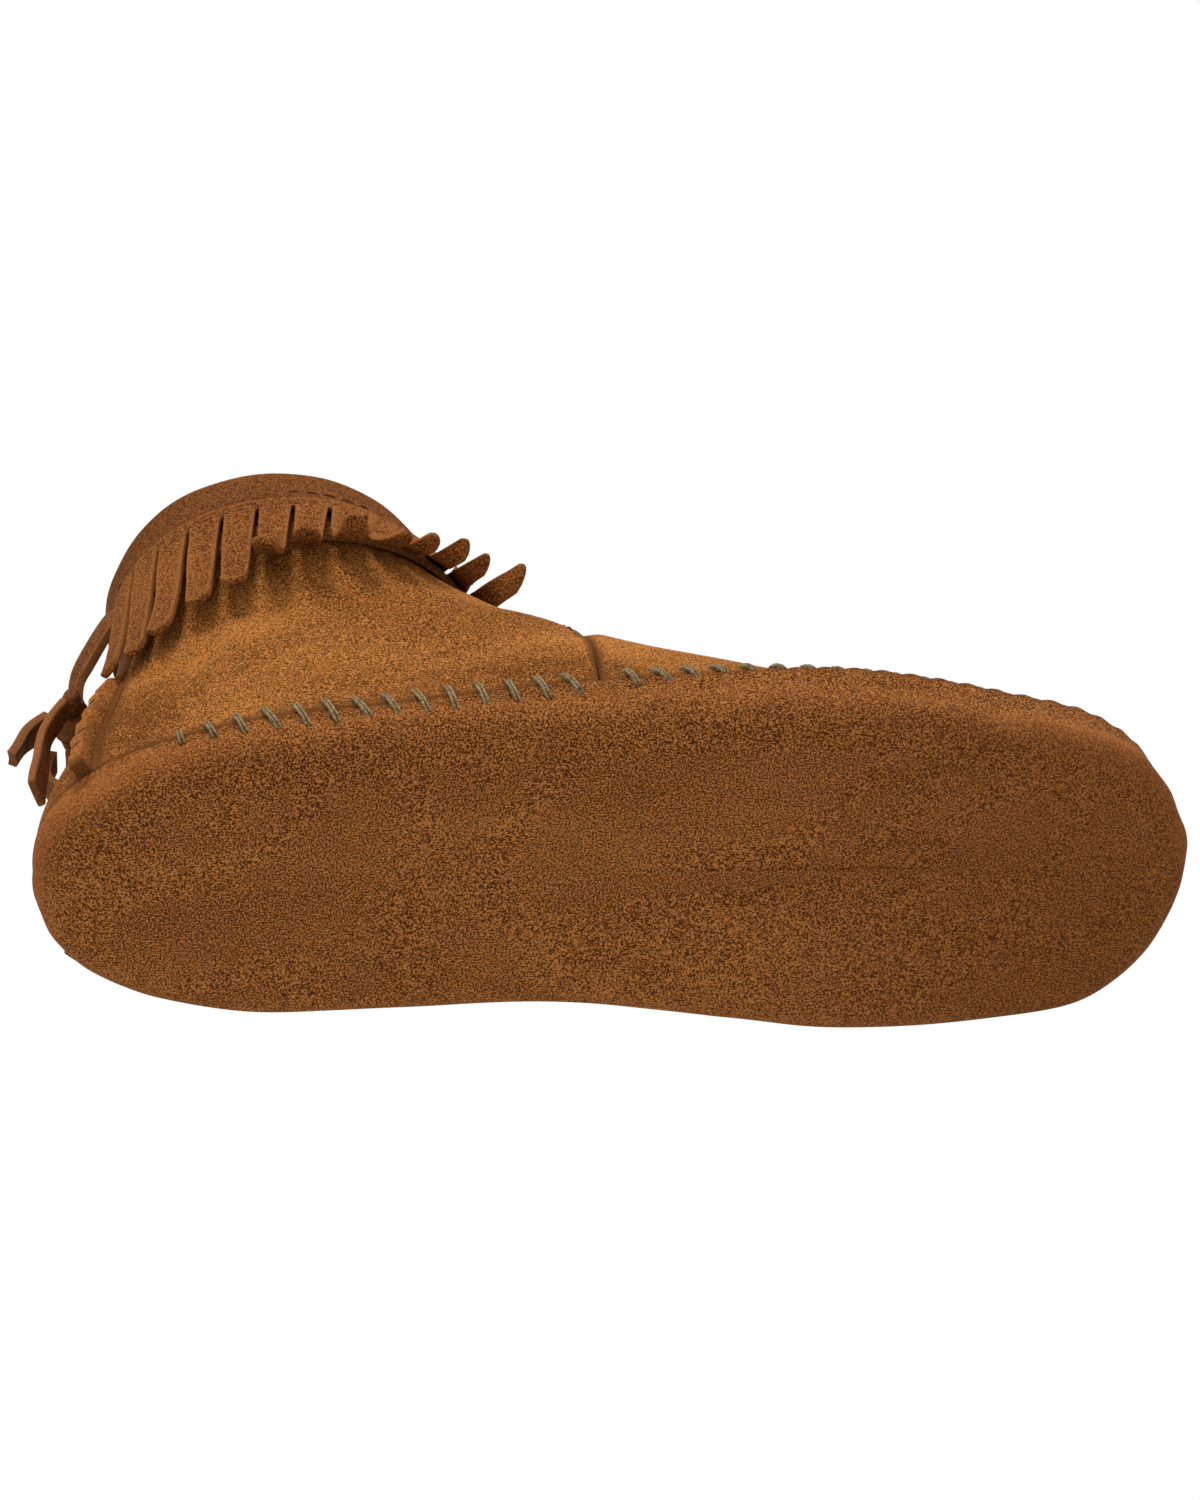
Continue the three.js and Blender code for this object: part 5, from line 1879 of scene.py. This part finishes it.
@dataclass
class Stitches:
    """Every row of stitches on the shoe."""

    last: Last
    pitch: float = 6.6
    slant: float = 0.75
    first: float = 0.07
    lip_rise: float = 2.0

    def _seam_row(self, start: float, end: float, rise: float, fall: float) -> StitchRow:
        """Slanted stitches over the seam, from the upper to the wall of the bottom piece.

        Args:
            start: where round the foot the row starts.
            end: where it ends.
            rise: how far up the upper the stitches reach.
            fall: how far down the wall they reach.

        Returns:
            The row.
        """
        count = round(self.last.girth / self.pitch)
        first, final = math.ceil(start * count + 0.2), math.floor(end * count - 0.2)
        t = (np.arange(first, final + 1) + 0.5) / count
        t = t[t < end]
        slant = self.slant / self.last.girth
        high = Ribs(self.last, t - slant)
        top, top_out, _, _ = (part[:, 0] for part in high.frame(high.up(np.full((len(t), 1), rise))))
        foot = self.last.seam(t + slant)
        wall, inward = self.last.wall(t + slant)
        wall[:, 2] = self.last.edge_radius
        down = unit(wall - foot)
        proud = smoothstep(foot[:, 0], 0, 45)[:, None] * (fall < 2)
        bottom = foot + down * fall * (1 - proud) - inward * (0.4 - 1.3 * proud)
        bottom[:, 2] += self.lip_rise * 0.6 * proud[:, 0]
        out = unit(top_out - inward)
        middle = self.last.seam(t)
        along = unit(top - bottom)
        centre = (top + bottom) / 2
        bulge = np.maximum(np.sum((middle - centre) * out, -1), 0)
        length = np.linalg.norm(top - bottom, axis=-1)
        if fall > 2:
            length = length * lerp(0.4, 1, smoothstep(np.minimum(t, 1 - t), self.first, self.first + 0.05))
        sizes = np.stack([np.ones_like(t), length, 1 + bulge * 0.9], -1)
        return StitchRow(centre + out * 0.15, along, out, sizes)

    def _rim_row(self, drop: float, lift: float, start: float, pitch: float) -> StitchRow:
        """A running row round the ankle.

        Args:
            drop: how far below the rim the row runs.
            lift: how far off the quarter it lies.
            start: the angle from the back where it starts and ends.
            pitch: the spacing of its stitches.

        Returns:
            The row.
        """
        count = round(2 * (math.pi - start) * self.last.rim_radius / pitch)
        angles = np.linspace(start, 2 * math.pi - start, count)
        ribs = Ribs(self.last, self.last.rib_at_angle(angles))
        shares = ribs.below_rim(np.full((count, 1), drop))
        point, normal, around, _ = (part[:, 0] for part in ribs.frame(shares))
        sizes = np.tile([1.0, pitch * 0.62, 1.0], (count, 1))
        return StitchRow(point + normal * lift, around, normal, sizes)

    def _back_row(self, edge: float) -> StitchRow:
        """Stitches over the tips of the two leaves of a turned-out back seam.

        Args:
            edge: the place of the seam, as a share of the way round.

        Returns:
            The row.
        """
        z = np.linspace(16, 46, 7)
        ribs = Ribs(self.last, [edge])
        shares = np.linspace(0, 1, 500)
        line = ribs.at(shares[None, :])[0]
        share = np.interp(z, line[:, 2], shares)
        point, normal, around, up = (part[0] for part in ribs.frame(share[None, :]))
        along = unit(around + up * 0.45)
        sizes = np.tile([1.0, 4.0, 1.2], (len(z), 1))
        return StitchRow(point + normal * 4.2, along, normal, sizes)

    def _lap_row(self, outer: float, inner: float) -> StitchRow:
        """Stitches along the quarter's front edge, just behind it.

        Args:
            outer: where the edge meets the seam on the outer side.
            inner: where it does so on the inner side.

        Returns:
            The row.
        """
        count = round(self.last.girth * (inner - outer - 0.06) / self.pitch)
        t = np.linspace(outer + 0.03, inner - 0.03, count)
        ribs = Ribs(self.last, t)
        share = ribs.lap() + 2.4 / ribs.length
        point, normal, _, _ = (part[:, 0] for part in ribs.frame(share[:, None]))
        along = unit(np.gradient(point, axis=0))
        spacing = np.linalg.norm(np.gradient(point, axis=0), axis=-1)
        sizes = np.stack([np.ones_like(t), np.clip(spacing * 0.6, 0.8, 4.2), np.ones_like(t)], -1)
        keep = spacing > 0.7
        return StitchRow((point + normal * 0.1)[keep], along[keep], normal[keep], sizes[keep])

    def build(
        self, waxed: bpy.types.Material, machine: bpy.types.Material, hole_shade: bpy.types.Material
    ) -> None:
        """Sews every row.

        Args:
            waxed: the hand-sewn thread.
            machine: the thin thread of the rows round the ankle.
            hole_shade: the dark dots of painted shade in the needle holes.
        """
        outer, inner = lap_corners(self.last)
        share = self.last.panel_share
        by_hand = Stitcher()
        row = self._seam_row(outer + 0.004, inner - 0.004, 3.6, 1.6)
        by_hand.sew("stitches_plug", row, waxed, ["thread_plug"])
        sides = {
            Side.OUTER: self._seam_row(share + 0.03, outer - 0.001, 3.5, 3.0),
            Side.INNER: self._seam_row(inner + 0.001, 1 - share - 0.03, 3.5, 3.0),
        }
        for side, row in sides.items():
            label = side.name.lower()
            by_hand.sew(f"stitches_side_{label}", row, waxed, [f"thread_side_{label}"])
            # Dark dots of painted shade where the thread enters the leather at the top of each stitch.
            tops = row.centres + row.along * (row.sizes[:, 1:2] * 0.5 + 0.5) - row.out * 0.1
            holes = StitchRow(tops, row.along, row.out, np.ones_like(row.sizes))
            Piercer(sway=0.0).sew(f"needle_holes_{label}", holes, hole_shade, [f"thread_side_{label}"])
        over = Stitcher(thread_radius=0.18, strands=1, arch=0.3, sink=0.6)
        over.sew("stitches_back_outer", self._back_row(share), machine, ["thread_back_outer"])
        over.sew("stitches_back_inner", self._back_row(1 - share), machine, ["thread_back_inner"])
        running = Stitcher(thread_radius=0.2, strands=1, arch=0.1, sink=0.3, sway=0.04)
        row = self._rim_row(7.5, 1.9, math.radians(2), 4.0)
        running.sew("stitches_collar", row, machine, ["thread_collar"])
        row = self._rim_row(13.9, 2.45, math.radians(27), 4.0)
        running.sew("stitches_fringe", row, machine, ["thread_fringe"])
        running.sew("stitches_lap", self._lap_row(outer, inner), machine, ["thread_lap"])


# ------------------------------------------------------------------ stage


@dataclass
class Stage:
    """The camera, the lights and the floor."""

    right: tuple[float, float, float] = (0.995, -0.039, -0.087)
    up: tuple[float, float, float] = (0.017, -0.827, 0.562)
    back: tuple[float, float, float] = (-0.094, -0.561, -0.822)
    centre: tuple[float, float, float] = (0.0, 0.0, 0.030)
    distance: float = 1.2
    lens: float = 128.8
    slide: tuple[float, float] = (-0.00097, 0.01258)

    def camera(self) -> None:
        """Looks at the shoe from below its outer side."""
        data = bpy.data.cameras.new("camera")
        data.sensor_fit = "AUTO"
        data.sensor_width = 36
        data.lens = self.lens
        data.clip_start, data.clip_end = 0.01, 20
        camera = bpy.data.objects.new("camera", data)
        bpy.context.scene.collection.objects.link(camera)
        right, up, back = (Vector(axis).normalized() for axis in (self.right, self.up, self.back))
        spot = Vector(self.centre) + back * self.distance + right * self.slide[0] + up * self.slide[1]
        turn = Matrix((right, up, back)).transposed().to_4x4()
        camera.matrix_world = Matrix.Translation(spot) @ turn
        bpy.context.scene.camera = camera

    def floor(self) -> None:
        """A pale floor that shows from above only, so that the sole can be seen from below."""
        mesh = bpy.data.meshes.new("floor")
        reach, height = 2.5, -0.0004
        corners = [(-reach, -reach), (reach, -reach), (reach, reach), (-reach, reach)]
        mesh.from_pydata([(x, y, height) for x, y in corners], [], [(0, 1, 2, 3)])
        floor = bpy.data.objects.new("floor", mesh)
        bpy.context.scene.collection.objects.link(floor)
        material = bpy.data.materials.new("floor")
        material.use_nodes = True
        tree = material.node_tree
        tree.nodes.clear()
        graph = Graph(tree)
        paint = graph.add("ShaderNodeBsdfDiffuse", {"Color": (0.86, 0.86, 0.85, 1)}).outputs[0]
        clear = graph.add("ShaderNodeBsdfTransparent").outputs[0]
        under = graph.add("ShaderNodeNewGeometry").outputs["Backfacing"]
        mixed = graph.add("ShaderNodeMixShader", {0: under, 1: paint, 2: clear}).outputs[0]
        graph.add("ShaderNodeOutputMaterial", {"Surface": mixed})
        mesh.materials.append(material)
        floor.visible_shadow = False
        floor.visible_diffuse = False
        floor.visible_glossy = False
        floor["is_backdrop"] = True

    def light(self, name: str, place_at: Sequence[float], size: float, power: float) -> None:
        """Adds a soft area light that faces the shoe.

        Args:
            name: the light's name.
            place_at: where it stands, in metres.
            size: the side of its square, in metres.
            power: its power in watts.
        """
        data = bpy.data.lights.new(name, "AREA")
        data.shape = "SQUARE"
        data.size = size
        data.energy = power
        lamp = bpy.data.objects.new(name, data)
        bpy.context.scene.collection.objects.link(lamp)
        spot = Vector(place_at)
        aim = (Vector((0, 0, 0.03)) - spot).to_track_quat("-Z", "Y").to_matrix().to_4x4()
        lamp.matrix_world = Matrix.Translation(spot) @ aim
        lamp.visible_camera = False

    def build(self) -> None:
        """Sets up the whole stage."""
        self.camera()
        self.floor()
        world = bpy.data.worlds.new("studio")
        world.use_nodes = True
        world.node_tree.nodes["Background"].inputs["Color"].default_value = (1, 1, 1, 1)
        world.node_tree.nodes["Background"].inputs["Strength"].default_value = 1.0
        bpy.context.scene.world = world
        bpy.context.scene.view_settings.view_transform = "Standard"
        self.light("key", (-0.45, -1.3, 1.3), 0.5, 30)
        self.light("fill", (0.9, -0.6, 1.2), 0.9, 5)
        self.light("sky", (-0.1, 0.9, 1.4), 1.0, 6)
        self.light("under", (-0.5, -0.4, -1.4), 0.8, 3)


def corners(bounds: Sequence[Vector]) -> list[list[float]]:
    """Bounds as plain lists of numbers."""
    return [[float(value) for value in corner] for corner in bounds]


def main() -> None:
    """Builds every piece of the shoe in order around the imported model."""
    logging.basicConfig(level=logging.INFO, format="%(name)s: %(message)s")
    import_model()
    model = corners(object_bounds())
    Stage().build()
    last = Last()
    dress = Wardrobe()
    BottomPiece(last).build(dress.sole)
    Footbed(last).build(dress.lining, dress.foam)
    Upper(last).build(dress.upper)
    Collar(last).build(dress.trim)
    Fringe(last).build(dress.trim)
    Thong(last).build(dress.thong)
    Stitches(last).build(dress.thread, dress.machine_thread, dress.hole_shade)
    {"model": model, "visual": corners(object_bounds())}


if __name__ == "__main__":
    main()
